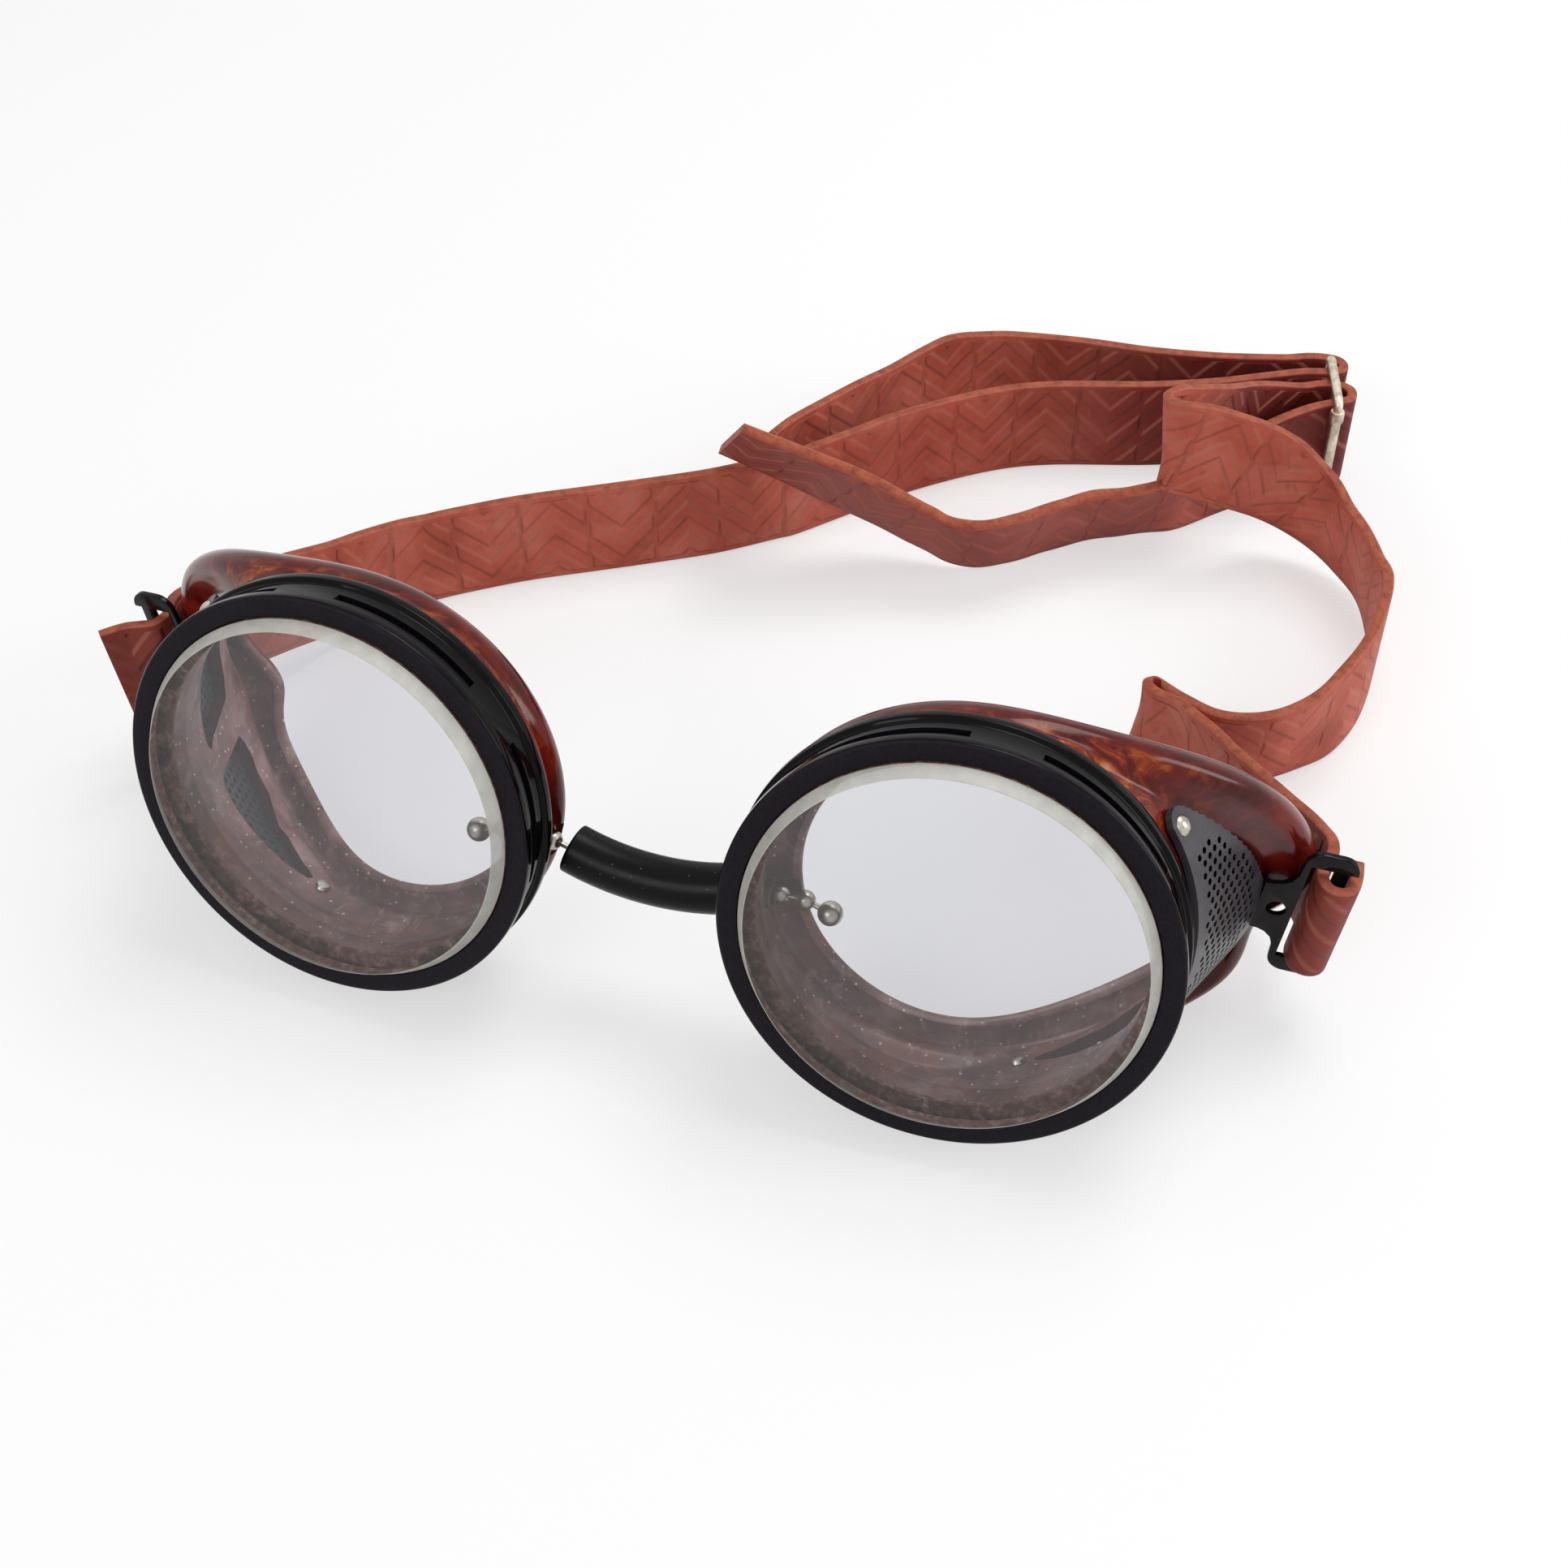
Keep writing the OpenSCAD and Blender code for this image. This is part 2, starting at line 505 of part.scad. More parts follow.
module right_strap() {
    color([0.55, 0.22, 0.16]) translate(shift) band(right_route, 3);
}

bar_near = [65.2, 132.4];
bar_mid = [64.3, 136.9];
bar_far = [62.2, 144.4];

module buckle_frame() {
    lo = wire_d / 2 + 0.2;
    hi = buckle_h - wire_d / 2;
    color([0.8, 0.78, 0.73]) translate(shift) {
        for (p = [bar_near, bar_far]) translate([p[0], p[1], lo]) cylinder(d = wire_d, h = hi - lo, $fn = 24);
        for (z = [lo, hi]) {
            rod([bar_near[0], bar_near[1], z], [bar_far[0], bar_far[1], z], wire_d);
            for (p = [bar_near, bar_far]) translate([p[0], p[1], z]) sphere(d = wire_d + 0.1, $fn = 24);
        }
    }
}

module buckle_bar() {
    color([0.8, 0.78, 0.73]) translate(shift) translate([bar_mid[0], bar_mid[1], 1.65])
        cylinder(d = wire_d, h = buckle_h - 3.1, $fn = 24);
}

module left_eyecup() { cup_place(-1) eyecup(); }
module left_side_shield() { cup_place(-1) side_shield(); }
module left_shield_rivets() { cup_place(-1) shield_rivets(); }
module left_chain_eyelet() { cup_place(-1) chain_eyelet(); }
module left_lens() { cup_place(-1) lens(); }
module left_lens_gasket() { cup_place(-1) lens_gasket(); }
module left_lens_ring() { cup_place(-1) lens_ring(); }
module right_eyecup() { cup_place(1) eyecup(); }
module right_side_shield() { cup_place(1) side_shield(); }
module right_shield_rivets() { cup_place(1) shield_rivets(); }
module right_chain_eyelet() { cup_place(1) chain_eyelet(); }
module right_lens() { cup_place(1) lens(); }
module right_lens_gasket() { cup_place(1) lens_gasket(); }
module right_lens_ring() { cup_place(1) lens_ring(); }

chain_beads();
chain_links();
bridge_sleeve();
left_strap();
right_strap();
buckle_frame();
buckle_bar();
left_eyecup();
left_side_shield();
left_shield_rivets();
left_chain_eyelet();
left_lens();
left_lens_gasket();
left_lens_ring();
right_eyecup();
right_side_shield();
right_shield_rivets();
right_chain_eyelet();
right_lens();
right_lens_gasket();
right_lens_ring();
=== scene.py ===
"""Looks for the round-lens safety goggles: glossy tortoiseshell eyecups, black screw-on rings,
perforated enamel side shields, a bead chain bridge and an embossed rubber strap.
Shapes are worked out in millimetres and placed in the row frame in metres."""
import math

import bmesh
import bpy
from mathutils import Matrix, Vector


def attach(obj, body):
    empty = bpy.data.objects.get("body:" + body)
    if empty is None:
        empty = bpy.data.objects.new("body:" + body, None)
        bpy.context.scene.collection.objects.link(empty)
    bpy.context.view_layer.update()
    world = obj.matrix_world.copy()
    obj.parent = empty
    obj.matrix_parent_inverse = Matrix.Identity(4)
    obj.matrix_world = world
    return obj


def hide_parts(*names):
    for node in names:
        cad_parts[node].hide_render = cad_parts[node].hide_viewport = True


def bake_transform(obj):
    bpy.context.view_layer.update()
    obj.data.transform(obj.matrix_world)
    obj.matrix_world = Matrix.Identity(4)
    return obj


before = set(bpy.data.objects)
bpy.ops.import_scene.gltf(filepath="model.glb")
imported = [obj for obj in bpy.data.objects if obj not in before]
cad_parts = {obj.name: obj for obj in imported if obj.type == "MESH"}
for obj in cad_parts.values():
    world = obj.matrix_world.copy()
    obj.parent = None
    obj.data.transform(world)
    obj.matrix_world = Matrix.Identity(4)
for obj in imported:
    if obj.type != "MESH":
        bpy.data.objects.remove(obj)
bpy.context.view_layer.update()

MM = 0.001
SIDES = {"left": -1, "right": 1}

# The camera
# SHIFT takes the source's millimetres to the row frame's. The camera's place, aim and lens were fitted to the
# four ellipses of the rings in the photograph.
SHIFT = Vector((1.43, -69.56, 0))
SENSOR, FOCAL_LENGTH = 36, 49.91
CAMERA_AT = Vector((73.68, -154.69, 215.51))
CAMERA_RIGHT = Vector((0.9491, 0.3148, -0.0136))
CAMERA_UP = Vector((-0.2150, 0.6787, 0.7022))
CAMERA_AHEAD = Vector((-0.2303, 0.6635, -0.7119))


def make_camera():
    data = bpy.data.cameras.new("camera")
    data.sensor_width = SENSOR
    data.lens = FOCAL_LENGTH
    data.clip_start = 0.01
    data.clip_end = 20
    camera = bpy.data.objects.new("camera", data)
    bpy.context.scene.collection.objects.link(camera)
    right, up, back = CAMERA_RIGHT, CAMERA_UP, -CAMERA_AHEAD
    turn = Matrix(((right[0], up[0], back[0]), (right[1], up[1], back[1]), (right[2], up[2], back[2])))
    camera.matrix_world = Matrix.Translation((CAMERA_AT + SHIFT) * MM) @ turn.to_4x4()
    bpy.context.scene.camera = camera


make_camera()


# Materials
BLACK, WHITE = "#000000", "#ffffff"


def paint(hex_value):
    """An sRGB hex colour as a linear one with full alpha."""
    parts = [int(hex_value[i:i + 2], 16) / 255 for i in (1, 3, 5)]
    return tuple(c / 12.92 if c <= 0.04045 else ((c + 0.055) / 1.055) ** 2.4 for c in parts) + (1,)


def per_mm(size):
    """Noise scale whose features are about this many millimetres across."""
    return 1000 / size


def add(tree, kind, inputs=None, **settings):
    """Adds a shader node, sets its properties, and sets or links its inputs."""
    node = tree.nodes.new("ShaderNode" + kind)
    for key, value in settings.items():
        setattr(node, key, value)
    for key, value in (inputs or {}).items():
        socket = node.inputs[key]
        if isinstance(value, bpy.types.NodeSocket):
            tree.links.new(value, socket)
        else:
            socket.default_value = value
    return node


def ramp(tree, factor, stops):
    """A colour ramp over a factor, with stops given as (position, sRGB hex)."""
    node = add(tree, "ValToRGB", {"Fac": factor})
    elements = node.color_ramp.elements
    while len(elements) < len(stops):
        elements.new(0.5)
    for element, (place, shade) in zip(elements, stops):
        element.position = place
        element.color = paint(shade)
    return node.outputs["Color"]


def blend_colours(tree, factor, one, two):
    return add(tree, "Mix", {0: factor, 6: one, 7: two}, data_type="RGBA").outputs[2]


def empty_material(name):
    """A new material with an empty node tree."""
    made = bpy.data.materials.new(name)
    made.use_nodes = True
    made.node_tree.nodes.clear()
    return made, made.node_tree


def material(name, **shader_values):
    """A new material with its Principled shader; single values go straight on the shader's sockets."""
    made, tree = empty_material(name)
    shader = add(tree, "BsdfPrincipled")
    for key, value in shader_values.items():
        shader.inputs[key.replace("_", " ")].default_value = value
    add(tree, "OutputMaterial", {"Surface": shader.outputs[0]})
    where = add(tree, "TexCoord").outputs["Object"]
    return made, tree, shader, where


def set_colour(tree, shader, shade):
    tree.links.new(shade, shader.inputs["Base Color"])


def noise(tree, where, size, detail=3.0, roughness=0.55, distortion=0.0):
    return add(tree, "TexNoise", {"Vector": where, "Scale": per_mm(size), "Detail": detail,
                                  "Roughness": roughness, "Distortion": distortion}).outputs["Fac"]


def bump(tree, shader, height, depth_mm, strength=1.0):
    node = add(tree, "Bump", {"Height": height, "Distance": depth_mm * MM, "Strength": strength})
    tree.links.new(node.outputs["Normal"], shader.inputs["Normal"])


def maths(tree, operation, one, two=None, three=None):
    """One step of arithmetic on shader values."""
    inputs = {i: v for i, v in enumerate((one, two, three)) if v is not None}
    return add(tree, "Math", inputs, operation=operation).outputs[0]


def times(tree, one, two):
    return maths(tree, "MULTIPLY", one, two)


def step_of(tree, value, low, high, start=0.0, end=1.0):
    """A smooth step from start to end as a value goes from low to high."""
    inputs = {"Value": value, "From Min": low, "From Max": high, "To Min": start, "To Max": end}
    return add(tree, "MapRange", inputs, interpolation_type="SMOOTHSTEP").outputs[0]


def tortoiseshell():
    """Moulded and polished tortoiseshell acetate: burgundy with amber clouds under a wet gloss."""
    made, tree, shader, where = material("tortoiseshell acetate", Roughness=0.16, IOR=1.49,
                                         Specular_IOR_Level=0.2, Coat_Weight=0.07, Coat_Roughness=0.04)
    clouds = noise(tree, where, 10.0, 4.0, 0.6, 0.9)
    shade = ramp(tree, clouds, [(0.32, "#330706"), (0.5, "#540e0b"), (0.66, "#701a11"),
                                (0.82, "#873416")])
    amber = add(tree, "Attribute", attribute_name="amber").outputs["Fac"]
    streak_place = add(tree, "Mapping", {"Vector": where, "Scale": (0.45, 1.0, 1.0)}).outputs["Vector"]
    streaks = noise(tree, streak_place, 2.6, 5.0, 0.65, 1.2)
    gold = ramp(tree, streaks, [(0.36, "#3a0805"), (0.46, "#611308"), (0.56, "#983a0d"),
                                (0.66, "#c77018"), (0.76, "#4a1007")])
    shade = blend_colours(tree, amber, shade, gold)
    set_colour(tree, shader, shade)
    bump(tree, shader, noise(tree, where, 1.6, 2.0), 0.02, 0.35)
    return made


def dusty_moulding():
    """The cups' unpolished inside: the same acetate, dull and mauve with dust, brown where it has stained."""
    made, tree, shader, where = material("dull inside of the acetate", Roughness=0.4, IOR=1.49)
    clouds = noise(tree, where, 7.0, 5.0, 0.6)
    shade = ramp(tree, clouds, [(0.3, "#522926"), (0.52, "#7b5350"), (0.72, "#ab8985")])
    brown = ramp(tree, noise(tree, where, 11.0, 3.0, 0.6, 1.0), [(0.52, BLACK), (0.68, WHITE)])
    shade = blend_colours(tree, times(tree, brown, 0.6), shade, paint("#8f5330"))
    smears = ramp(tree, noise(tree, where, 3.2, 5.0, 0.7, 0.8), [(0.54, BLACK), (0.7, WHITE)])
    shade = blend_colours(tree, times(tree, smears, 0.55), shade, paint("#c3aca6"))
    specks = add(tree, "TexVoronoi", {"Vector": where, "Scale": per_mm(1.5)}).outputs["Distance"]
    dots = ramp(tree, specks, [(0.08, WHITE), (0.16, BLACK)])
    shade = blend_colours(tree, dots, shade, paint("#e0cfc0"))
    set_colour(tree, shader, shade)
    return made


def ring_face():
    """The turned front of the ring: hard rubber left matt, purple-black."""
    made, tree, shader, where = material("matt turned hard rubber", Roughness=0.5, IOR=1.5,
                                         Specular_IOR_Level=0.12)
    grain = noise(tree, where, 0.5, 3.0)
    shade = ramp(tree, grain, [(0.35, "#0e080f"), (0.7, "#17101b")])
    set_colour(tree, shader, shade)
    return made


def ring_skirt():
    """The ring's side: the same hard rubber polished to a deep black."""
    made, tree, shader, where = material("polished hard rubber", Roughness=0.07, IOR=1.5,
                                         Specular_IOR_Level=0.1)
    shader.inputs["Base Color"].default_value = paint("#060507")
    bump(tree, shader, noise(tree, where, 1.2, 2.0), 0.01, 0.25)
    return made


def clear_glass():
    """Ground and polished lens glass, thin and a little grey: light passes it unbent, and it mirrors more at
    a slant. From inside the glass the index of that mirroring turns over."""
    made, tree = empty_material("polished lens glass")
    clear = add(tree, "BsdfTransparent", {"Color": (0.86, 0.865, 0.885, 1)})
    gloss = add(tree, "BsdfGlossy", {"Color": paint(WHITE), "Roughness": 0.02})
    inside = add(tree, "NewGeometry").outputs["Backfacing"]
    index = add(tree, "MapRange", {"Value": inside, "To Min": 1.5, "To Max": 1 / 1.5}).outputs[0]
    edge = add(tree, "Fresnel", {"IOR": index}).outputs[0]
    mixed = add(tree, "MixShader", {0: edge, 1: clear.outputs[0], 2: gloss.outputs[0]})
    add(tree, "OutputMaterial", {"Surface": mixed.outputs[0]})
    return made


def ground_glass():
    """The lens bevel, left as ground: frosted and grey-cream."""
    made, tree, shader, where = material("ground glass bevel", Roughness=0.45, IOR=1.5, Alpha=0.9)
    grain = noise(tree, where, 2.5, 4.0, 0.6)
    shade = ramp(tree, grain, [(0.3, "#b0aea8"), (0.7, "#c4c3bc")])
    set_colour(tree, shader, shade)
    return made


def seat_dust():
    """The lens's edge in its seat, brown with the dust that has worked in round it."""
    made, tree, shader, where = material("dusty lens edge", Roughness=0.7, IOR=1.5, Specular_IOR_Level=0.1)
    grain = noise(tree, where, 1.4, 5.0, 0.7)
    shade = ramp(tree, grain, [(0.3, "#5c3a31"), (0.52, "#86635a"), (0.72, "#c4ab9b")])
    set_colour(tree, shader, shade)
    return made


def enamel():
    """Satin stoving enamel on pressed steel, grey-black with a soft sheen."""
    made, tree, shader, where = material("satin black enamel", Roughness=0.36, IOR=1.5,
                                         Specular_IOR_Level=0.4)
    wear = noise(tree, where, 3.0, 4.0, 0.6)
    shade = ramp(tree, wear, [(0.35, "#312f33"), (0.7, "#434046")])
    set_colour(tree, shader, shade)
    bump(tree, shader, noise(tree, where, 0.35, 2.0), 0.01, 0.3)
    return made


def tab_enamel():
    """The thicker, glossier enamel on the strap tab, nearly black."""
    made, tree, shader, where = material("gloss black enamel", Roughness=0.14, IOR=1.5,
                                         Specular_IOR_Level=0.14)
    shade = ramp(tree, noise(tree, where, 2.0, 3.0), [(0.4, "#0d0b0c"), (0.75, "#1d1817")])
    set_colour(tree, shader, shade)
    bump(tree, shader, noise(tree, where, 1.0, 2.0), 0.02, 0.4)
    return made


def metal(name, dark, light, rough):
    """An aged plated metal whose tarnish varies softly."""
    made, tree, shader, where = material(name, Metallic=1.0)
    wear = noise(tree, where, 1.5, 4.0, 0.6)
    shade = ramp(tree, wear, [(0.3, dark), (0.7, light)])
    set_colour(tree, shader, shade)
    dulling = add(tree, "MapRange", {"Value": wear, "To Min": rough + 0.15, "To Max": rough})
    tree.links.new(dulling.outputs[0], shader.inputs["Roughness"])
    return made


def soft_black():
    """Moulded black rubber tube, satin with dust specks."""
    made, tree, shader, where = material("moulded black rubber", IOR=1.5, Specular_IOR_Level=0.12)
    specks = add(tree, "TexVoronoi", {"Vector": where, "Scale": per_mm(1.1)}).outputs["Distance"]
    dots = ramp(tree, specks, [(0.05, WHITE), (0.11, BLACK)])
    shade = blend_colours(tree, dots, paint("#060506"), paint("#5b5a5c"))
    set_colour(tree, shader, shade)
    sheen = add(tree, "MapRange", {"Value": noise(tree, where, 2.5), "To Min": 0.22, "To Max": 0.4})
    tree.links.new(sheen.outputs[0], shader.inputs["Roughness"])
    return made


STRAP_W, STRAP_T = 15.6, 1.5
# length of a block of the embossing, and from one chevron to the next
BLOCK, CHEVRON = 10.2, 6.0


def chevrons(tree):
    """Embossing height from 0 to 1: blocks of stacked chevrons that point up and down in turn. It reads the
    strap's own run and across values in millimetres. Returns the height, how near a block's end is, and the
    bands' upward- and downward-facing slopes, which take a painted highlight and painted shade."""
    run = add(tree, "Attribute", attribute_name="run").outputs["Fac"]
    across = add(tree, "Attribute", attribute_name="across").outputs["Fac"]
    blocks = maths(tree, "DIVIDE", run, BLOCK)
    off_middle = maths(tree, "SUBTRACT", maths(tree, "FRACT", blocks), 0.5)
    off_middle = times(tree, maths(tree, "ABSOLUTE", off_middle), BLOCK)
    odd = maths(tree, "FLOORED_MODULO", maths(tree, "FLOOR", blocks), 2.0)
    sign = maths(tree, "MULTIPLY_ADD", odd, 2.0, -1.0)
    slanted = maths(tree, "MULTIPLY_ADD", sign, off_middle, across)
    phase = maths(tree, "FRACT", maths(tree, "DIVIDE", slanted, CHEVRON))
    rise, fall = step_of(tree, phase, -0.02, 0.16), step_of(tree, phase, 0.46, 0.64, 1.0, 0.0)
    band = times(tree, rise, fall)
    inside = step_of(tree, off_middle, BLOCK / 2 - 0.6, BLOCK / 2 - 0.05, 1.0, 0.0)
    off_centre = maths(tree, "ABSOLUTE", across)
    margin = step_of(tree, off_centre, STRAP_W / 2 - 1.1, STRAP_W / 2 - 0.8, 1.0, 0.0)
    area = times(tree, inside, margin)
    # the slopes facing up and down, for a painted highlight and painted shade
    rise, fall = step_of(tree, phase, 0.42, 0.53), step_of(tree, phase, 0.55, 0.68, 1.0, 0.0)
    upper = times(tree, rise, fall)
    rise, fall = step_of(tree, phase, -0.02, 0.05), step_of(tree, phase, 0.06, 0.14, 1.0, 0.0)
    lower = times(tree, rise, fall)
    return (times(tree, band, area), maths(tree, "SUBTRACT", 1.0, inside),
            times(tree, upper, area), times(tree, lower, area))


def strap_rubber():
    """Calendered red rubber webbing: dusty brick faces, paler with dust and painted light where they look up,
    deep red painted shade at the back right, far in front and underneath, and orange-brown where it is cut."""
    made, tree, shader, where = material("embossed red rubber", Roughness=0.62, IOR=1.5,
                                         Specular_IOR_Level=0.3)
    cut = add(tree, "Attribute", attribute_name="cut").outputs["Fac"]
    height, gap, worn, painted_shade_slope = chevrons(tree)
    clouds = noise(tree, where, 12.0, 4.0, 0.55)
    face = ramp(tree, clouds, [(0.32, "#a24734"), (0.5, "#b75844"), (0.7, "#c26c5a")])
    lie = add(tree, "SeparateXYZ", {0: add(tree, "NewGeometry").outputs["Normal"]}).outputs["Z"]
    # painted shade, deep red: on upright faces at the back right, on all that lies far in front, and on
    # undersides
    at = add(tree, "SeparateXYZ", {0: where}).outputs
    back = times(tree, step_of(tree, at["X"], 0.0, 0.052), step_of(tree, at["Y"], 0.045, 0.058))
    back = times(tree, back, step_of(tree, lie, 0.12, 0.35, 0.92, 0.0))
    front = step_of(tree, at["Y"], -0.036, -0.022, 0.68, 0.0)
    under = step_of(tree, lie, -0.6, -0.15, 0.7, 0.0)
    painted_shade = maths(tree, "MAXIMUM", maths(tree, "MAXIMUM", back, front), under)
    face = blend_colours(tree, painted_shade, face, paint("#5c0c09"))
    # paler where the faces look up: settled dust, and painted light on the tops
    face = blend_colours(tree, step_of(tree, lie, 0.3, 0.9, 0.0, 0.4), face, paint("#c79a90"))
    fine = noise(tree, where, 1.6, 5.0, 0.7)
    dirt = ramp(tree, fine, [(0.33, WHITE), (0.5, BLACK)])
    low = maths(tree, "MULTIPLY_ADD", height, -0.16, 0.22)
    face = blend_colours(tree, times(tree, dirt, low), face, paint("#4f1c15"))
    stain = ramp(tree, noise(tree, where, 6.5, 2.0, 0.5, 1.5), [(0.66, BLACK), (0.74, WHITE)])
    gap_dirt = times(tree, gap, step_of(tree, clouds, 0.42, 0.6))
    marks = times(tree, maths(tree, "MAXIMUM", gap_dirt, stain), 0.2)
    face = blend_colours(tree, marks, face, paint("#3d211c"))
    # painted highlight on the bands' upward-facing slopes, and painted shade on their downward-facing ones
    face = blend_colours(tree, times(tree, worn, 0.3), face, paint("#c9816c"))
    face = blend_colours(tree, times(tree, painted_shade_slope, 0.16), face, paint("#6a1d15"))
    edge = ramp(tree, fine, [(0.35, "#7f3a28"), (0.6, "#a9563a")])
    set_colour(tree, shader, blend_colours(tree, cut, face, edge))
    rough = maths(tree, "MULTIPLY_ADD", fine, 0.1, height)
    bump(tree, shader, rough, 0.34)
    return made


def seen_directly(tree):
    """1 for rays that show the background, straight or mirrored, and 0 for rays that carry its light."""
    rays = add(tree, "LightPath").outputs
    mirrored = maths(tree, "MAXIMUM", rays["Is Glossy Ray"], rays["Is Transmission Ray"])
    return maths(tree, "MAXIMUM", rays["Is Camera Ray"], mirrored)


def pale_floor():
    """White paper sweep under the goggles, bleached in view so that only a light shadow stays on it."""
    made, tree = empty_material("white paper sweep")
    paper = add(tree, "BsdfPrincipled", {"Base Color": (0.95, 0.95, 0.95, 1), "Roughness": 0.9})
    glow = add(tree, "Emission", {"Color": paint(WHITE), "Strength": 1.0})
    bleach = times(tree, seen_directly(tree), 0.55)
    both = add(tree, "MixShader", {0: bleach, 1: paper.outputs[0], 2: glow.outputs[0]})
    add(tree, "OutputMaterial", {"Surface": both.outputs[0]})
    return made


TORTOISESHELL = tortoiseshell()
DULL_INSIDE = dusty_moulding()
RING_FACE = ring_face()
RING_SKIRT = ring_skirt()
GLASS = clear_glass()
BEVEL = ground_glass()
SEAT_DUST = seat_dust()
ENAMEL = enamel()
TAB_ENAMEL = tab_enamel()
NICKEL = metal("aged nickel plate", "#8f8a80", "#d8d3c6", 0.22)
BUCKLE_NICKEL = metal("worn nickel plate", "#a99f8c", "#e6decd", 0.34)
BRASS = metal("aged brass", "#6f4f22", "#b98b45", 0.3)
RUBBER = soft_black()
STRAP = strap_rubber()


# Making pieces
def turned_by(degrees, axis):
    return Matrix.Rotation(math.radians(degrees), 4, axis)


def moved_by(x, y, z):
    return Matrix.Translation((x, y, z))


ROW = Matrix.Scale(MM, 4) @ Matrix.Translation(SHIFT)
FACING = turned_by(-90, "X")
CUP_HALF_SPAN, CUP_HEIGHT, CUP_YAW, CUP_TILT = 38.7, 28.3, 2.5, 15


def cup_matrix(side):
    """From an eyecup's own millimetres (x to the temple, y rearward) to the row frame in metres."""
    mirror = Matrix.Diagonal((side, 1, 1, 1))
    seat = moved_by(CUP_HALF_SPAN, 0, CUP_HEIGHT)
    return ROW @ mirror @ seat @ turned_by(CUP_YAW, "Z") @ turned_by(-CUP_TILT, "X")


def as_object(name, bm, place, materials, sharp=35):
    """Turns a bmesh in millimetres into a smooth-shaded object whose place is in its mesh."""
    bmesh.ops.transform(bm, matrix=place, verts=bm.verts)
    bmesh.ops.recalc_face_normals(bm, faces=bm.faces)
    mesh = bpy.data.meshes.new(name)
    bm.to_mesh(mesh)
    bm.free()
    for m in materials:
        mesh.materials.append(m)
    mesh.shade_smooth()
    mesh.set_sharp_from_angle(angle=math.radians(sharp))
    made = bpy.data.objects.new(name, mesh)
    bpy.context.scene.collection.objects.link(made)
    return made


def cut_away(piece, cutters, mode="DIFFERENCE", keep_colours=False):
    """Works the cutters into a piece for good and removes them; their materials can line the cuts."""
    for cutter in cutters:
        step = piece.modifiers.new("cut", "BOOLEAN")
        step.object = cutter
        step.operation = mode
        step.solver = "EXACT"
        step.material_mode = "TRANSFER" if keep_colours else "INDEX"
    graph = bpy.context.evaluated_depsgraph_get()
    mesh = bpy.data.meshes.new_from_object(piece.evaluated_get(graph))
    piece.modifiers.clear()
    old = piece.data
    piece.data = mesh
    bpy.data.meshes.remove(old)
    for cutter in cutters:
        bpy.data.objects.remove(cutter)
    mesh.name = piece.name


def join(piece, other):
    """Adds another object's mesh to a piece's own and removes that object."""
    bm = bmesh.new()
    bm.from_mesh(piece.data)
    bm.from_mesh(other.data)
    bm.to_mesh(piece.data)
    bm.free()
    bpy.data.objects.remove(other)


def surface_of(curve):
    """The skin of a curve as a bmesh, with its doubled points merged."""
    holder = bpy.data.objects.new(curve.name, curve)
    bpy.context.scene.collection.objects.link(holder)
    graph = bpy.context.evaluated_depsgraph_get()
    mesh = bpy.data.meshes.new_from_object(holder.evaluated_get(graph))
    bpy.data.objects.remove(holder)
    bm = bmesh.new()
    bm.from_mesh(mesh)
    bpy.data.meshes.remove(mesh)
    bmesh.ops.remove_doubles(bm, verts=bm.verts, dist=1e-4)
    return bm


def fit(piece, body, slot, *nodes):
    """Rides a piece on its body and lets it stand for CAD nodes."""
    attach(piece, body)
    if nodes:
        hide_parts(*nodes)


def turned(profile, steps=192, closed=True):
    """A solid of revolution about Z from (radius, height) points."""
    bm = bmesh.new()
    points = [bm.verts.new((r, 0, h)) for r, h in profile]
    pairs = list(zip(points, points[1:])) + ([(points[-1], points[0])] if closed else [])
    edges = [bm.edges.new(pair) for pair in pairs]
    bmesh.ops.spin(bm, geom=points + edges, axis=(0, 0, 1), cent=(0, 0, 0), angle=math.tau, steps=steps,
                   use_merge=True)
    bmesh.ops.remove_doubles(bm, verts=bm.verts, dist=1e-5)
    return bm


def softened(profile, size=0.12):
    """Rounds the corners of a closed profile with a small two-step chamfer."""
    rounded = []
    for i, (r, h) in enumerate(profile):
        before, after = Vector(profile[i - 1]), Vector(profile[(i + 1) % len(profile)])
        here = Vector((r, h))
        if r < 0.01:
            rounded.append((r, h))
            continue
        a = here + (before - here).normalized() * min(size, (before - here).length / 3)
        b = here + (after - here).normalized() * min(size, (after - here).length / 3)
        middle = (a + b) / 2 * 0.42 + here * 0.58
        rounded += [tuple(a), tuple(middle), tuple(b)]
    return rounded


# Eyecup form, with the source's values. Only the shield lies further off the wall, 0.22 mm for 0.15 mm.
WALL, WALL_R, NECK_IN, LENS_R = 1.5, 25.45, 23.3, 24.9
NECK_FRONT, NECK_BACK = 2.83, 7.6
RIM_R, RIM_R_TEMPLE, RIM_D, RIM_D_TEMPLE = 23.8, 12.3, 11.8, 21
ROLL_R, ROLL_R_TEMPLE, NOTCH_AT, NOTCH_DEEP = 2.6, 0.8, -14, 3.6
WALL_SLOPE, WALL_DIR, SHIELD_D0 = 0.37, 6, 8.3
SHIELD_GAP, SHEET = 0.22, 0.8
SHIELD_R = WALL_R + SHIELD_GAP + SHEET
# rivets as (angle, depth), and the chain's eyelet in the nose wall
RIVET_TOP, RIVET_LOW = (33, 11.9), (-69.5, 12.7)
CHAIN_X, CHAIN_Y, CHAIN_Z = 14.6, 8.4, 21.6
EYELET_R, EYELET_OUT, EYELET_IN = 1.5, 1.3, 1


def sin(a):
    return math.sin(math.radians(a))


def cos(a):
    return math.cos(math.radians(a))


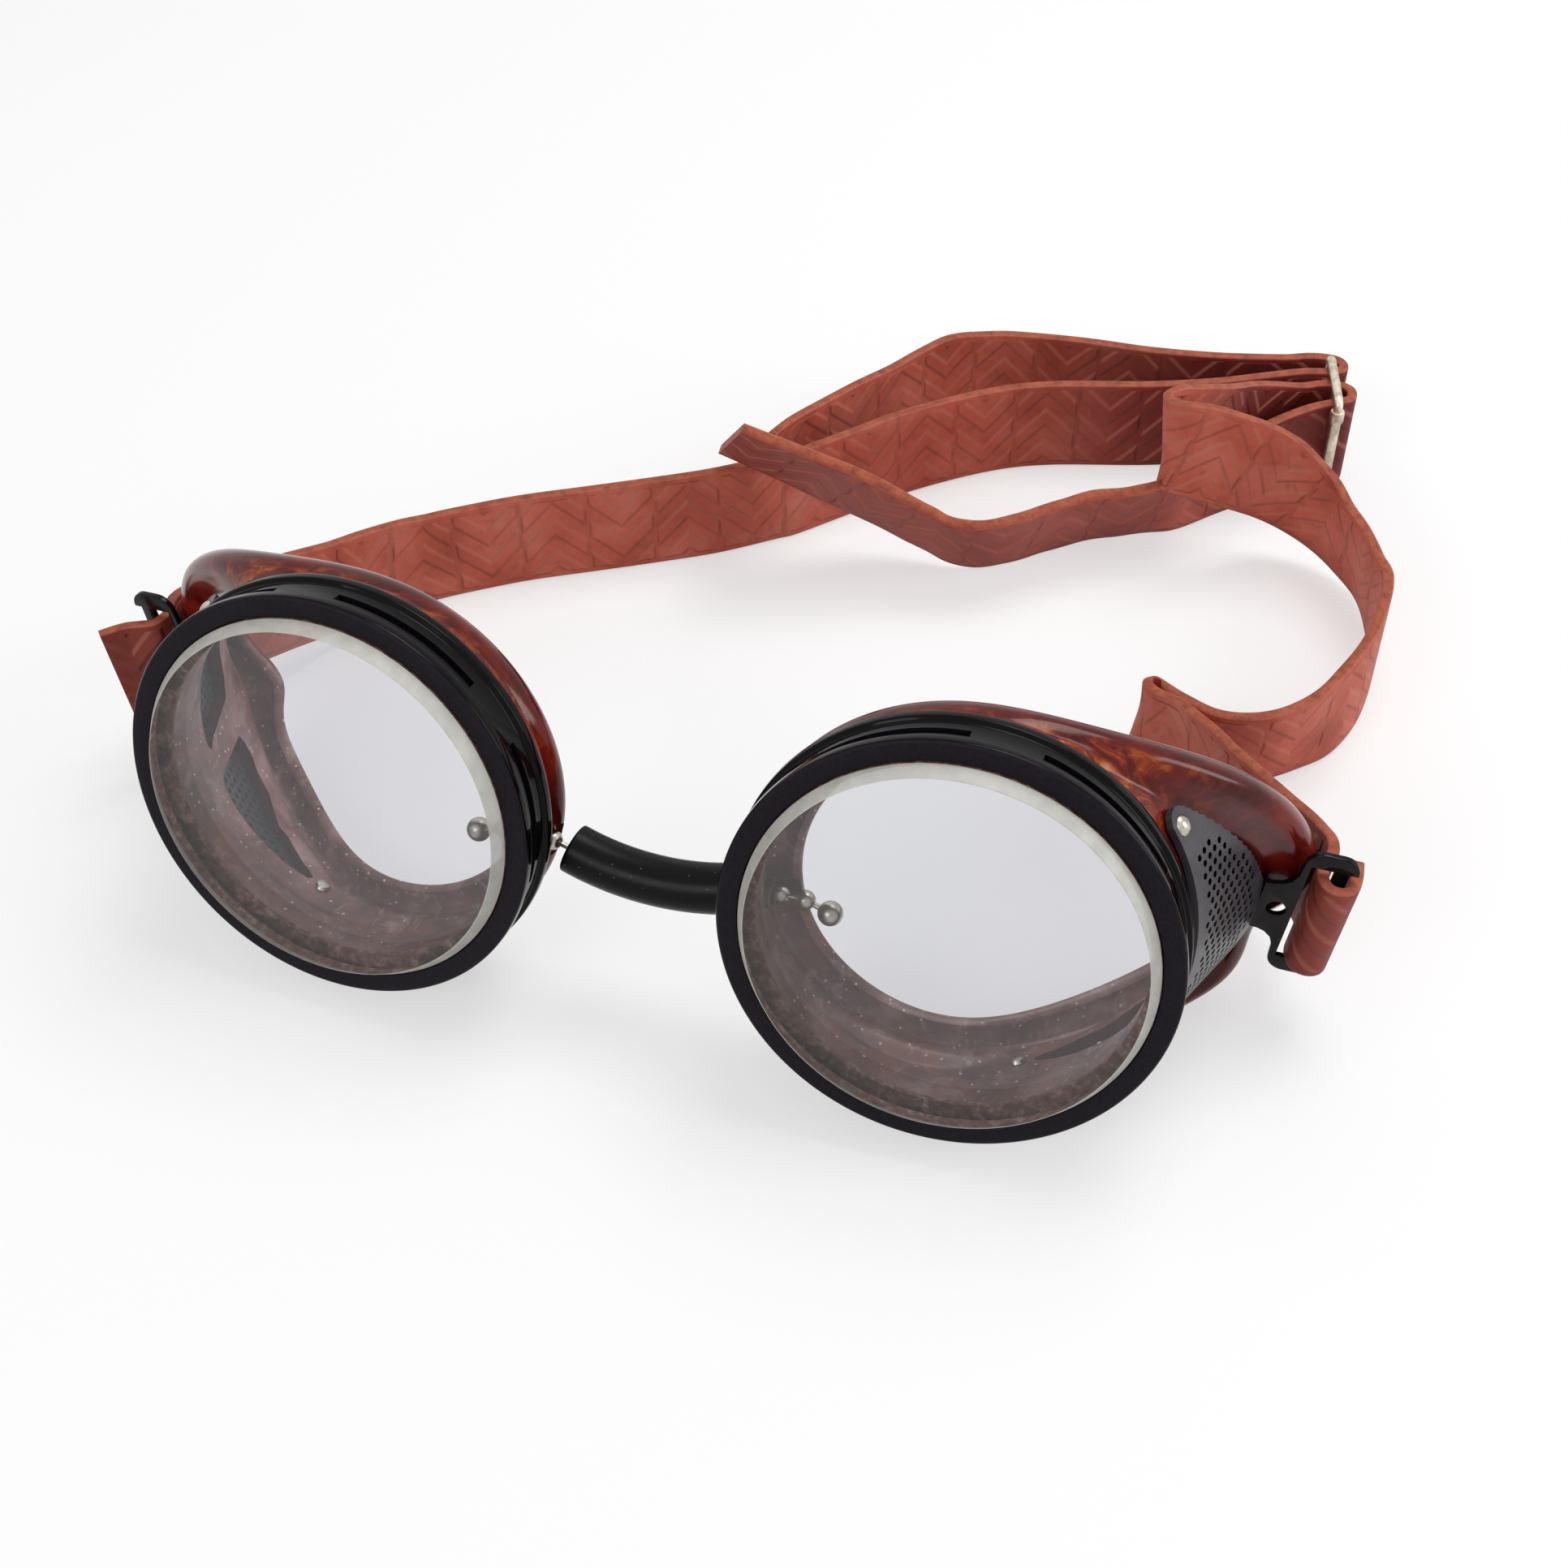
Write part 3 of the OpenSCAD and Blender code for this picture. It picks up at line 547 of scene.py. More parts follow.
def half_cosine(a):
    """1 at the temple, on angle 0, and 0 at the nose."""
    return (1 + cos(a)) / 2


def dip(a):
    """1 at the cup's lowest point and 0 at its top."""
    return ((1 - sin(a)) / 2) ** 4


def roll_radius(a):
    return ROLL_R + ROLL_R_TEMPLE * half_cosine(a + 8) ** 4 - 0.75 * dip(a)


def rim_radius(a):
    notch = math.exp(-((a - NOTCH_AT) / 9) ** 2)
    flare = RIM_R_TEMPLE * half_cosine(a + 1.5) ** 6.1
    return RIM_R + flare - 0.8 * sin(a) - 2.1 * dip(a) - NOTCH_DEEP * notch


def rim_depth(a):
    return RIM_D + RIM_D_TEMPLE * half_cosine(a + 11) ** 6 - 0.4 * sin(a)


def wall_radius(a, depth):
    """The wall is a cylinder sheared towards the temple; on the nose side it stays round."""
    c, b = WALL_SLOPE * (depth - SHIELD_D0), a - WALL_DIR
    return c * cos(b) + math.sqrt(WALL_R ** 2 - (c * sin(b)) ** 2) if cos(b) > 0 else WALL_R


def smooth_line(points, steps):
    """Catmull-Rom line through points of any size."""
    points = [Vector(p) for p in points]
    line = []
    for i in range(len(points) - 1):
        a, b = points[max(i - 1, 0)], points[i]
        c, d = points[i + 1], points[min(i + 2, len(points) - 1)]
        for k in range(steps):
            t = k / steps
            line.append(0.5 * (2 * b + (c - a) * t + (2 * a - 5 * b + 4 * c - d) * t * t
                               + (3 * b - a - 3 * c + d) * t ** 3))
    return line + [points[-1]]


def cup_section(a):
    """Closed outline of the moulding at one angle as (radius, depth), inner side first. The middle line runs
    from the shoulder behind the neck down the wall, through the valley and round the rolled rim."""
    big_r, big_d = rim_radius(a), rim_depth(a)
    q = roll_radius(a) - WALL / 2
    valley_d = max(9.5, big_d - roll_radius(a) - 0.9)
    valley_r = wall_radius(a, valley_d) - WALL / 2
    middle = [Vector((24.45, 8.2))] + smooth_line([
        (wall_radius(a, 8.9) - WALL / 2, 8.9),
        (valley_r, valley_d),
        (max(big_r + q * 0.5, min(valley_r, big_r + q)), big_d - q * 0.87),
        (big_r + q * 0.97, big_d - q * 0.1),
        (big_r + q * 0.7, big_d + q * 0.75),
        (big_r - q * 0.15, big_d + q),
        (big_r - 1.9, big_d + q * 0.95),
        (big_r - 3.1, big_d + 1)], 2)
    inner, outer = [], []
    for i, p in enumerate(middle):
        run = (middle[min(i + 1, len(middle) - 1)] - middle[max(i - 1, 0)]).normalized()
        left = Vector((run.y, -run.x))
        inner.append(p - left * WALL / 2)
        outer.append(p + left * WALL / 2)
    lip = middle[-1] + (middle[-1] - middle[-2]).normalized() * 0.35
    inner, outer = smooth_line(inner, 3), smooth_line(outer, 3)
    return ([Vector((NECK_IN, NECK_FRONT)), Vector((NECK_IN, NECK_BACK - 0.2))] + inner + [lip]
            + outer[::-1] + [Vector((LENS_R, NECK_BACK)), Vector((LENS_R, NECK_FRONT))])


def polar(r, depth, a):
    return Vector((r * cos(a), depth, r * sin(a)))


def cup_shell(around=240):
    """The moulding's skin: a grid wrapped round the lens axis and along the closed section. Its amber value
    is high on top, between the ring and the rim."""
    angles = [k * 360 / around for k in range(around)]
    sections = [cup_section(a if a <= 180 else a - 360) for a in angles]
    count = len(sections[0])
    inner_count = (count - 5) // 2 + 3
    bm = bmesh.new()
    bmesh.ops.create_grid(bm, x_segments=around, y_segments=count, size=0.5)
    amber = bm.verts.layers.float.new("amber")
    for face in bm.faces:
        row = math.floor((face.calc_center_median().y + 0.5) * count)
        face.material_index = 1 if row < inner_count else 0
    for vert in bm.verts:
        i = round((vert.co.x + 0.5) * around) % around
        j = round((vert.co.y + 0.5) * count) % count
        p = sections[i][j]
        vert.co = polar(p.x, p.y, angles[i])
        off_top = (angles[i] - 100) / 58
        past_ring = min(1.0, max(0.0, (p.y - 7) / 1.5))
        before_rim = min(1.0, max(0.0, (rim_depth(angles[i]) - p.y - 0.5) / 2))
        vert[amber] = math.exp(-off_top ** 4) * past_ring * before_rim
    bmesh.ops.remove_doubles(bm, verts=bm.verts, dist=1e-4)
    return bm


def radial_prism(name, outline, r1, r2, place):
    """A cutter over an outline of (angle, depth) points, running outward from r1 to r2."""
    bm = bmesh.new()
    face = bm.faces.new([bm.verts.new(polar(r1, d, a)) for a, d in outline])
    moved = bmesh.ops.extrude_face_region(bm, geom=[face])["geom"]
    for vert in (g for g in moved if isinstance(g, bmesh.types.BMVert)):
        vert.co = Vector((vert.co.x * r2 / r1, vert.co.y, vert.co.z * r2 / r1))
    return as_object(name, bm, place, [])


def rivet_matrix(at):
    """Where a rivet sits: Z points out of the shield."""
    a, depth = at
    c, b = WALL_SLOPE * (depth - SHIELD_D0), a - WALL_DIR
    g = b + math.degrees(math.asin(c * sin(b) / WALL_R))
    return (turned_by(-WALL_DIR, "Y") @ moved_by(c, 0, 0) @ turned_by(-g, "Y")
            @ moved_by(SHIELD_R, depth, 0)
            @ Matrix.Rotation(-math.atan(WALL_SLOPE * cos(g)), 4, "Z") @ turned_by(90, "Y"))


def drill(name, radius, depth, place, segments=32):
    bm = bmesh.new()
    bmesh.ops.create_cone(bm, cap_ends=True, segments=segments, radius1=radius, radius2=radius, depth=depth)
    return as_object(name, bm, place, [])


def chain_matrix():
    """The chain's line through the nose wall, in an eyecup's own frame."""
    wall = moved_by(CHAIN_X - CUP_HALF_SPAN, CHAIN_Y, CHAIN_Z - CUP_HEIGHT)
    return turned_by(CUP_TILT, "X") @ turned_by(-CUP_YAW, "Z") @ wall @ turned_by(90, "Y")


# the two vent windows in the temple wall as (angle, depth)
UPPER_WINDOW = [(-15, 13.6), (-9, 23.2), (-4, 23.8), (5, 22.4), (17, 18.4), (23, 14.8), (22, 13), (14, 12.5),
                (-2, 12.5), (-12, 12.8)]
LOWER_WINDOW = [(-24, 13.4), (-20, 22.8), (-23, 23.4), (-32, 21.8), (-46, 17.6), (-60, 14.8), (-65, 13.6),
                (-64, 12.9), (-56, 12.5), (-38, 12.4), (-27, 12.6)]


def make_eyecup(name, side):
    place = cup_matrix(side)
    piece = as_object(name + "_moulding", cup_shell(), place, [TORTOISESHELL, DULL_INSIDE], sharp=60)
    cutters = [radial_prism("window", w, 20, 60, place) for w in (UPPER_WINDOW, LOWER_WINDOW)]
    line = place @ chain_matrix()
    cutters.append(drill("eyelet_hole", EYELET_R + 0.35, 10, line))
    # flats under the eyelet's flanges: outside the wall from -0.9 mm, and inside it from 0.68 mm
    outside, inside = moved_by(0, 0, -2.95), moved_by(0, 0, 2.68)
    cutters.append(drill("outer_spot_face", EYELET_R + 0.8, 4.1, line @ outside, segments=48))
    cutters.append(drill("inner_spot_face", EYELET_R + 0.7, 4, line @ inside, segments=48))
    cut_away(piece, cutters)
    piece.data.set_sharp_from_angle(angle=math.radians(60))
    fit(piece, name + "_cup", "tortoiseshell", name + "_eyecup")


# Lens, ring and small turned parts
RING_R, SKIRT_R, BEAD_R, LIP_R, BORE_R = 27, 26.3, 26.9, 24.4, 24.95
RING_DEPTH, FLANGE, LIP, BEAD, CORNER = 7.5, 1.6, 1.2, 1.5, 0.3
RING_PROFILE = [(LIP_R, 0), (RING_R - CORNER, 0), (RING_R, CORNER), (RING_R, FLANGE), (SKIRT_R, FLANGE + 0.4),
                (SKIRT_R, RING_DEPTH - BEAD - CORNER), (BEAD_R, RING_DEPTH - BEAD),
                (BEAD_R, RING_DEPTH - CORNER), (BEAD_R - CORNER, RING_DEPTH), (BORE_R, RING_DEPTH),
                (BORE_R, LIP), (LIP_R, LIP)]
# vent slots in the skirt, the web left between two of them, and the middle of the first, in degrees
SLOTS, SLOT_WEB, FIRST_SLOT = 6, 18, 8
SLOT_LOW, SLOT_HIGH = 2.9, 4.2
LENS_PROUD, LENS_FACE_R, BEVEL_FOOT_R, LENS_SEAT, LENS_BACK = 1.7, 23.25, 24.25, 1.23, 2.13
# half a rivet as (radius, height): domed head over the sheet, shank, and peened end inside the cup
RIVET = [(0, 0.62), (0.3, 0.605), (0.6, 0.54), (0.85, 0.43), (1.05, 0.29), (1.2, 0.12), (1.25, 0.02),
         (0.6, 0.02), (0.6, -2.7), (1.05, -2.7), (0.8, -3.1), (0, -3.2)]


def make_ring(name, side):
    """The turned retaining ring, with long vent slots cut through its skirt."""
    place = cup_matrix(side) @ FACING
    bm = turned(softened(RING_PROFILE, 0.22), steps=256)
    for face in bm.faces:
        middle = face.calc_center_median()
        face.material_index = 0 if middle.z < CORNER - 0.12 else 1
    piece = as_object(name + "_ring", bm, place, [RING_FACE, RING_SKIRT], sharp=40)
    cutters = []
    inner, outer = SKIRT_R - 0.75, RING_R + 0.2
    section = ((inner, SLOT_LOW), (outer, SLOT_LOW), (outer, SLOT_HIGH), (inner, SLOT_HIGH))
    span = math.radians(360 / SLOTS - SLOT_WEB)
    for k in range(SLOTS):
        slot = bmesh.new()
        edge = [slot.faces.new([slot.verts.new((r, 0, h)) for r, h in section])]
        start = Matrix.Rotation(math.radians(k * 360 / SLOTS + FIRST_SLOT) - span / 2, 4, "Z")
        bmesh.ops.transform(slot, matrix=start, verts=slot.verts)
        whole = edge + list(slot.edges) + list(slot.verts)
        bmesh.ops.spin(slot, geom=whole, axis=(0, 0, 1), cent=(0, 0, 0), angle=span, steps=24,
                       use_duplicate=False)
        bmesh.ops.remove_doubles(slot, verts=slot.verts, dist=1e-5)
        cutters.append(as_object("slot", slot, place, []))
    cut_away(piece, cutters)
    piece.data.set_sharp_from_angle(angle=math.radians(40))
    fit(piece, name + "_ring", "ring", name + "_lens_ring")


def make_lens(name, side):
    """The lens: clear face and back, a frosted bevel, and a dusty edge and flange in the ring's seat."""
    profile = [(0, -LENS_PROUD), (LENS_FACE_R - 0.05, -LENS_PROUD), (LENS_FACE_R + 0.07, 0.08 - LENS_PROUD),
               (BEVEL_FOOT_R, -0.1), (BEVEL_FOOT_R, LENS_SEAT), (LENS_R, LENS_SEAT), (LENS_R, LENS_BACK),
               (0, LENS_BACK)]
    bm = turned(profile, closed=False)
    for face in bm.faces:
        middle = face.calc_center_median()
        if math.hypot(middle.x, middle.y) > LENS_FACE_R and middle.z < LENS_BACK - 0.01:
            face.material_index = 1 if middle.z < -0.2 else 2
    piece = as_object(name + "_glass", bm, cup_matrix(side) @ FACING, [GLASS, BEVEL, SEAT_DUST], sharp=20)
    fit(piece, name + "_glass", "lens_glass", name + "_lens")


def make_rivets(name, side):
    """The two rivets that hold the shield to the temple wall."""
    bm = bmesh.new()
    for at in (RIVET_TOP, RIVET_LOW):
        one = turned(RIVET, steps=48, closed=False)
        bmesh.ops.transform(one, matrix=rivet_matrix(at), verts=one.verts)
        mesh = bpy.data.meshes.new("rivet")
        one.to_mesh(mesh)
        one.free()
        bm.from_mesh(mesh)
        bpy.data.meshes.remove(mesh)
    piece = as_object(name + "_rivets", bm, cup_matrix(side), [NICKEL])
    fit(piece, name + "_cup", "nickel", name + "_shield_rivets")


def make_eyelet(name, side):
    """A brass tube through the nose wall, with a flange rolled over at each end."""
    tube, outer, inner = EYELET_R + 0.3, EYELET_R + 0.7, EYELET_R + 0.6
    profile = [(EYELET_R, -EYELET_OUT), (outer, -EYELET_OUT), (outer, 0.35 - EYELET_OUT),
               (tube, 0.35 - EYELET_OUT), (tube, EYELET_IN - 0.3), (inner, EYELET_IN - 0.3),
               (inner, EYELET_IN), (EYELET_R, EYELET_IN)]
    bm = turned(softened(profile, 0.08), steps=64)
    piece = as_object(name + "_eyelet", bm, cup_matrix(side) @ chain_matrix(), [BRASS])
    fit(piece, name + "_cup", "brass", name + "_chain_eyelet")


# Side shield
TAB_W = Vector((0.992, 0.088, -0.0925)).normalized()
TAB_N = TAB_W.cross(Vector((0.113, -0.267, 0.958))).normalized()
TAB_U = TAB_N.cross(TAB_W)
TAB_OUT, TAB_BACK, TAB_UP = 40.9, 28.1, -3.5
# the shield's edge as (angle, depth)
SHIELD_OUTLINE = [(35, 10.2), (37.4, 11.2), (37.2, 13), (30, 16), (19, 20.3), (10.6, 23.5), (3.2, 26),
                  (-1, 27.4), (-10, 28.2), (-15, 27.6), (-22, 26), (-32, 23.6), (-47, 19.2), (-60, 16),
                  (-70, 15), (-73.8, 13.6), (-73.5, 11.4), (-70, 10.4), (-40, 10), (-18, 9.9), (10, 10),
                  (35, 10.2)]
# where the bent sheet starts before it is cut out, and how far it runs, in degrees and in depth
SHEET_FROM, SHEET_RUN = (-80, 8.6), (122, 21)
# one perforation's width, and the way to the next along a slanted row and to the next row, as (angle, depth)
PERFORATION, ALONG_ROW, ROW_TO_ROW, FIRST_HOLE_DEPTH = 0.8, (0.41, 1.28), (2.78, 0.55), 12.4


def on_shield(a, depth):
    """A point of the shield's outer face: a cylinder sheared outward with depth towards the temple."""
    off = a - WALL_DIR
    shear = WALL_SLOPE * (depth - SHIELD_D0)
    return turned_by(-WALL_DIR, "Y") @ Vector((SHIELD_R * cos(off) + shear, depth, SHIELD_R * sin(off)))


def perforated(a, depth):
    """Whether the sheet has a hole here: it stays plain along its front, its rear and its upper end."""
    rear_edge = 27.6 - (0.0085 if a > -8 else 0.0042) * (a + 8) ** 2
    margin = 2.7 if a > -4 else 1.9
    return a < 24.5 and 12.1 < depth < rear_edge - margin


def perforations():
    """Drills for all the holes, square to the sheet's bend, on rows that slant over the shield."""
    holes = bmesh.new()
    # the counts reach past the sheet on every side
    for row in range(-30, 12):
        for i in range(-8, 26):
            a = ALONG_ROW[0] * i + ROW_TO_ROW[0] * row
            depth = FIRST_HOLE_DEPTH + ALONG_ROW[1] * i + ROW_TO_ROW[1] * row
            if perforated(a, depth):
                spot = turned_by(-a, "Y") @ moved_by(32, depth, 0) @ turned_by(90, "Y")
                bmesh.ops.create_cone(holes, cap_ends=True, segments=12, radius1=PERFORATION / 2,
                                      radius2=PERFORATION / 2, depth=20, matrix=spot)
    return holes


def make_shield(name, side):
    """The side shield: a bent and sheared sheet, cut to its outline, perforated, with its strap tab."""
    place = cup_matrix(side)
    bm = bmesh.new()
    bmesh.ops.create_grid(bm, x_segments=96, y_segments=24, size=0.5)
    for vert in bm.verts:
        a = SHEET_FROM[0] + (vert.co.x + 0.5) * SHEET_RUN[0]
        vert.co = on_shield(a, SHEET_FROM[1] + (vert.co.y + 0.5) * SHEET_RUN[1])
    bmesh.ops.recalc_face_normals(bm, faces=bm.faces)
    inner = bmesh.ops.extrude_face_region(bm, geom=bm.faces[:])["geom"]
    for vert in (g for g in inner if isinstance(g, bmesh.types.BMVert)):
        axis = Vector((vert.co.x - WALL_SLOPE * (vert.co.y - SHIELD_D0), 0, vert.co.z))
        vert.co -= axis.normalized() * SHEET
    piece = as_object(name + "_shield", bm, place, [ENAMEL])
    outline = [(p.x, p.y) for p in smooth_line(SHIELD_OUTLINE, 4)][:-1]
    cut_away(piece, [radial_prism("outline", outline, 18, 110, place)], "INTERSECT")
    # the holes' walls take the ring skirt's near-black: painted shade inside the perforations
    cut_away(piece, [as_object("holes", perforations(), place, [RING_SKIRT])], keep_colours=True)
    piece.data.set_sharp_from_angle(angle=math.radians(35))
    join(piece, make_tab(name, side))
    piece.data.materials.append(TAB_ENAMEL)
    fit(piece, name + "_cup", "enamel", name + "_side_shield")


# The tab's plate in its own plane: x runs outward from the middle of the strap's bar, and y along that bar
PLATE_IN, PLATE_OUT, PLATE_LONG, PLATE_CORNER = -4.45, 1.95, 21.6, 2.2
BAR_HALF, SLOT_IN, SLOT_HALF = 0.9, -3.6, 8.4
TAB_HOLE_AT, TAB_HOLE_R, PRESSED_EDGE = -5.7, 1.2, 0.12
NECK_EDGE = [(-8, 4.1), (-7, 4.15), (-6, 4.5), (-5.1, 5.3), (-4.6, 6.5)]


def make_tab(name, side):
    """The pressed strap tab: a rounded plate with a strap slot and a round hole."""
    curve = bpy.data.curves.new(name + "_tab", "CURVE")
    curve.dimensions = "2D"
    curve.fill_mode = "BOTH"
    curve.extrude = SHEET / 2 - PRESSED_EDGE
    curve.bevel_depth = PRESSED_EDGE
    curve.bevel_resolution = 2
    curve.offset = -PRESSED_EDGE

    def outline(points):
        spline = curve.splines.new("POLY")
        spline.points.add(len(points) - 1)
        for spot, (x, y) in zip(spline.points, points):
            spot.co = (x, y, 0, 1)
        spline.use_cyclic_u = True

    def arc(x, y, r, start, end, steps):
        angles = [start + (end - start) * k / steps for k in range(steps + 1)]
        return [(x + r * cos(a), y + r * sin(a)) for a in angles]

    def corner(x, y, start):
        return arc(x, y, PLATE_CORNER, start, start + 90, 10)

    inward, outward = PLATE_IN + PLATE_CORNER, PLATE_OUT - PLATE_CORNER
    high = PLATE_LONG / 2 - PLATE_CORNER
    outline([(x, -y) for x, y in NECK_EDGE] + corner(inward, -high, 180) + corner(outward, -high, 270)
            + [(PLATE_OUT, -SLOT_HALF), (BAR_HALF, -SLOT_HALF), (BAR_HALF, SLOT_HALF), (PLATE_OUT, SLOT_HALF)]
            + corner(outward, high, 0) + corner(inward, high, 90) + NECK_EDGE[::-1])
    outline([(SLOT_IN, SLOT_HALF), (-BAR_HALF, SLOT_HALF), (-BAR_HALF, -SLOT_HALF), (SLOT_IN, -SLOT_HALF)])
    outline(arc(TAB_HOLE_AT, 0, TAB_HOLE_R, 350, 0, 35))
    bm = surface_of(curve)
    # the tab's enamel comes third on the shield, after the sheet's enamel and the near-black lining of its
    # holes, which is painted shade
    for face in bm.faces:
        face.material_index = 2
    seat = Matrix(((TAB_W.x, TAB_U.x, TAB_N.x, TAB_OUT), (TAB_W.y, TAB_U.y, TAB_N.y, TAB_BACK),
                   (TAB_W.z, TAB_U.z, TAB_N.z, TAB_UP), (0, 0, 0, 1)))
    return as_object(name + "_tab", bm, cup_matrix(side) @ seat, [])


# Chain bridge
BEADS, BEAD_D, STOP_D, BEAD_PITCH, LINK_D, LINK_IN = 15, 2.5, 3.1, 3.25, 0.7, 0.15
SLEEVE_BEND, SLEEVE_LEN, SLEEVE_R, SLEEVE_BORE_R, SLEEVE_AT = 38, 22.4, 3.15, 1.65, 0.7
# how far the chain sags forward and down at its middle and at the stop balls, and the sag's slope
SAG, STOP_SAG, FORWARD, DOWN, SAG_SLOPE = 2, 0.9, 0.5, 0.87, 60


def bead_at(i):
    x = (i - (BEADS - 1) / 2) * BEAD_PITCH
    sag = STOP_SAG if i in (0, BEADS - 1) else max(0.0, SAG - x * x / (2 * SLEEVE_BEND))
    return Vector((x, CHAIN_Y - FORWARD * sag, CHAIN_Z - DOWN * sag))


def bead_size(i):
    return STOP_D if i in (0, BEADS - 1) else BEAD_D


def make_chain():
    bm = bmesh.new()
    for i in range(BEADS):
        spot = Matrix.Translation(bead_at(i)) @ turned_by(90, "Y")
        bmesh.ops.create_uvsphere(bm, u_segments=32, v_segments=16, radius=bead_size(i) / 2, matrix=spot)
    fit(as_object("beads", bm, ROW, [NICKEL]), "bridge", "nickel", "chain_beads")
    bm = bmesh.new()
    for i in range(BEADS - 1):
        run = bead_at(i + 1) - bead_at(i)
        turn = run.to_track_quat("Z", "Y").to_matrix().to_4x4()
        long = run.length - bead_size(i) / 2 - bead_size(i + 1) / 2 + 2 * LINK_IN
        middle = bead_at(i) + run.normalized() * (bead_size(i) / 2 - LINK_IN + long / 2)
        spot = Matrix.Translation(middle) @ turn
        bmesh.ops.create_cone(bm, cap_ends=True, segments=20, radius1=LINK_D / 2, radius2=LINK_D / 2,
                              depth=long, matrix=spot)
    fit(as_object("links", bm, ROW, [NICKEL]), "bridge", "nickel", "chain_links")


def make_sleeve():
    """The rubber tube over the middle of the chain, bent on a wide arc."""
    span = SLEEVE_LEN / SLEEVE_BEND
    bm = bmesh.new()
    for r in (SLEEVE_R, SLEEVE_BORE_R):
        bmesh.ops.create_circle(bm, segments=40, radius=r)
    bmesh.ops.bridge_loops(bm, edges=bm.edges[:])
    upright = Matrix.Rotation(math.radians(90), 3, "X")
    bmesh.ops.rotate(bm, verts=bm.verts, cent=(0, 0, 0), matrix=upright)
    bmesh.ops.translate(bm, verts=bm.verts, vec=(SLEEVE_BEND, 0, 0))
    start = Matrix.Rotation(-math.pi / 2 - span / 2, 3, "Z")
    bmesh.ops.rotate(bm, verts=bm.verts, cent=(0, 0, 0), matrix=start)
    whole = bm.verts[:] + bm.edges[:] + bm.faces[:]
    bmesh.ops.spin(bm, geom=whole, axis=(0, 0, 1), cent=(0, 0, 0), angle=span, steps=48, use_duplicate=False)
    bmesh.ops.remove_doubles(bm, verts=bm.verts, dist=1e-5)
    ends = [e for e in bm.edges if e.calc_face_angle(0) > 1.2]
    bmesh.ops.bevel(bm, geom=ends, offset=0.25, segments=3, profile=0.5, affect="EDGES", material=-1)
    middle = moved_by(SLEEVE_AT, CHAIN_Y - FORWARD * SAG, CHAIN_Z - DOWN * SAG)
    place = ROW @ middle @ turned_by(SAG_SLOPE, "X") @ moved_by(0, SLEEVE_BEND, 0)
    fit(as_object("sleeve", bm, place, [RUBBER]), "sleeve", "sleeve_rubber", "bridge_sleeve")


# Straps
# the right tab's bar in the source's millimetres: its middle, and the ways outward, rearward and along it
BAR_C, BAR_W = Vector((78.4, 27.9, 17.2)), Vector((0.988, 0.104, -0.112))
BAR_N, BAR_U = Vector((-0.103, 0.995, 0.017)), Vector((0.113, -0.005, 0.994))


def at_bar(side, w, n):
    """A point of a strap's route round its bar, w outward and n rearward, with the way up along the bar."""
    p = BAR_C + BAR_W * w + BAR_N * n
    return (side * p.x, p.y, p.z, side * BAR_U.x, BAR_U.y, BAR_U.z)


def stand(x, y, lift=0.0):
    """A point of a strap's route where it stands on its edge on the table, or is lifted off it."""
    return (x, y, STRAP_W / 2 + 0.1 + lift, 0, 0, 1)


def lean(x, y, z, up_x=0, up_y=0, up_z=1):
    """A point of a strap's route with the way up across the strap there."""
    return (x, y, z, up_x, up_y, up_z)


# the routes' points in the source's millimetres, from each tab to the strap's free end
LEFT_ROUTE = [at_bar(-1, w, n) for w, n in ((4.5, -5.6), (3.3, -4.3), (1.9, -3.1), (0.2, -2.3),
                                            (-1.6, -1.3), (-2, 1), (-1, 4.2))] + [lean(*p) for p in (
    (-75.2, 39, 15, -0.08), (-72.2, 47, 12.6, -0.05), (-68.6, 54.6, 10.3), (-65.9, 59.8, 9.2),
    (-62.8, 64, 8.6))] + [stand(*p) for p in (
        (-59.4, 67.8), (-55.6, 70.8), (-47.6, 76.4), (-39.1, 81.3), (-30.6, 86.2), (-22.1, 91.4),
        (-14.4, 97.4), (-11.9, 99.4), (-6.2, 105.8), (1.6, 114.6), (12.3, 123.6), (21.5, 128.5), (36.1, 133),
        (45.9, 135.9, 0.7), (53.2, 138.7, 1.4), (58.4, 141, 1.7), (61.8, 142.1, 1.7), (64, 143.1, 1.7),
        (64.3, 144.7, 1.7), (62.8, 146, 1.7), (59.4, 145.9, 1.6), (54.8, 144.7, 1.2), (44.7, 143.2, 0.5),
        (34.2, 142.4), (23.7, 141.8), (13.3, 140.4), (8.3, 139), (2.9, 136.4), (-0.5, 131.6), (-4.1, 125.2),
        (-7.8, 119.7), (-11.3, 113.8), (-14.7, 107.8), (-16.5, 103))]

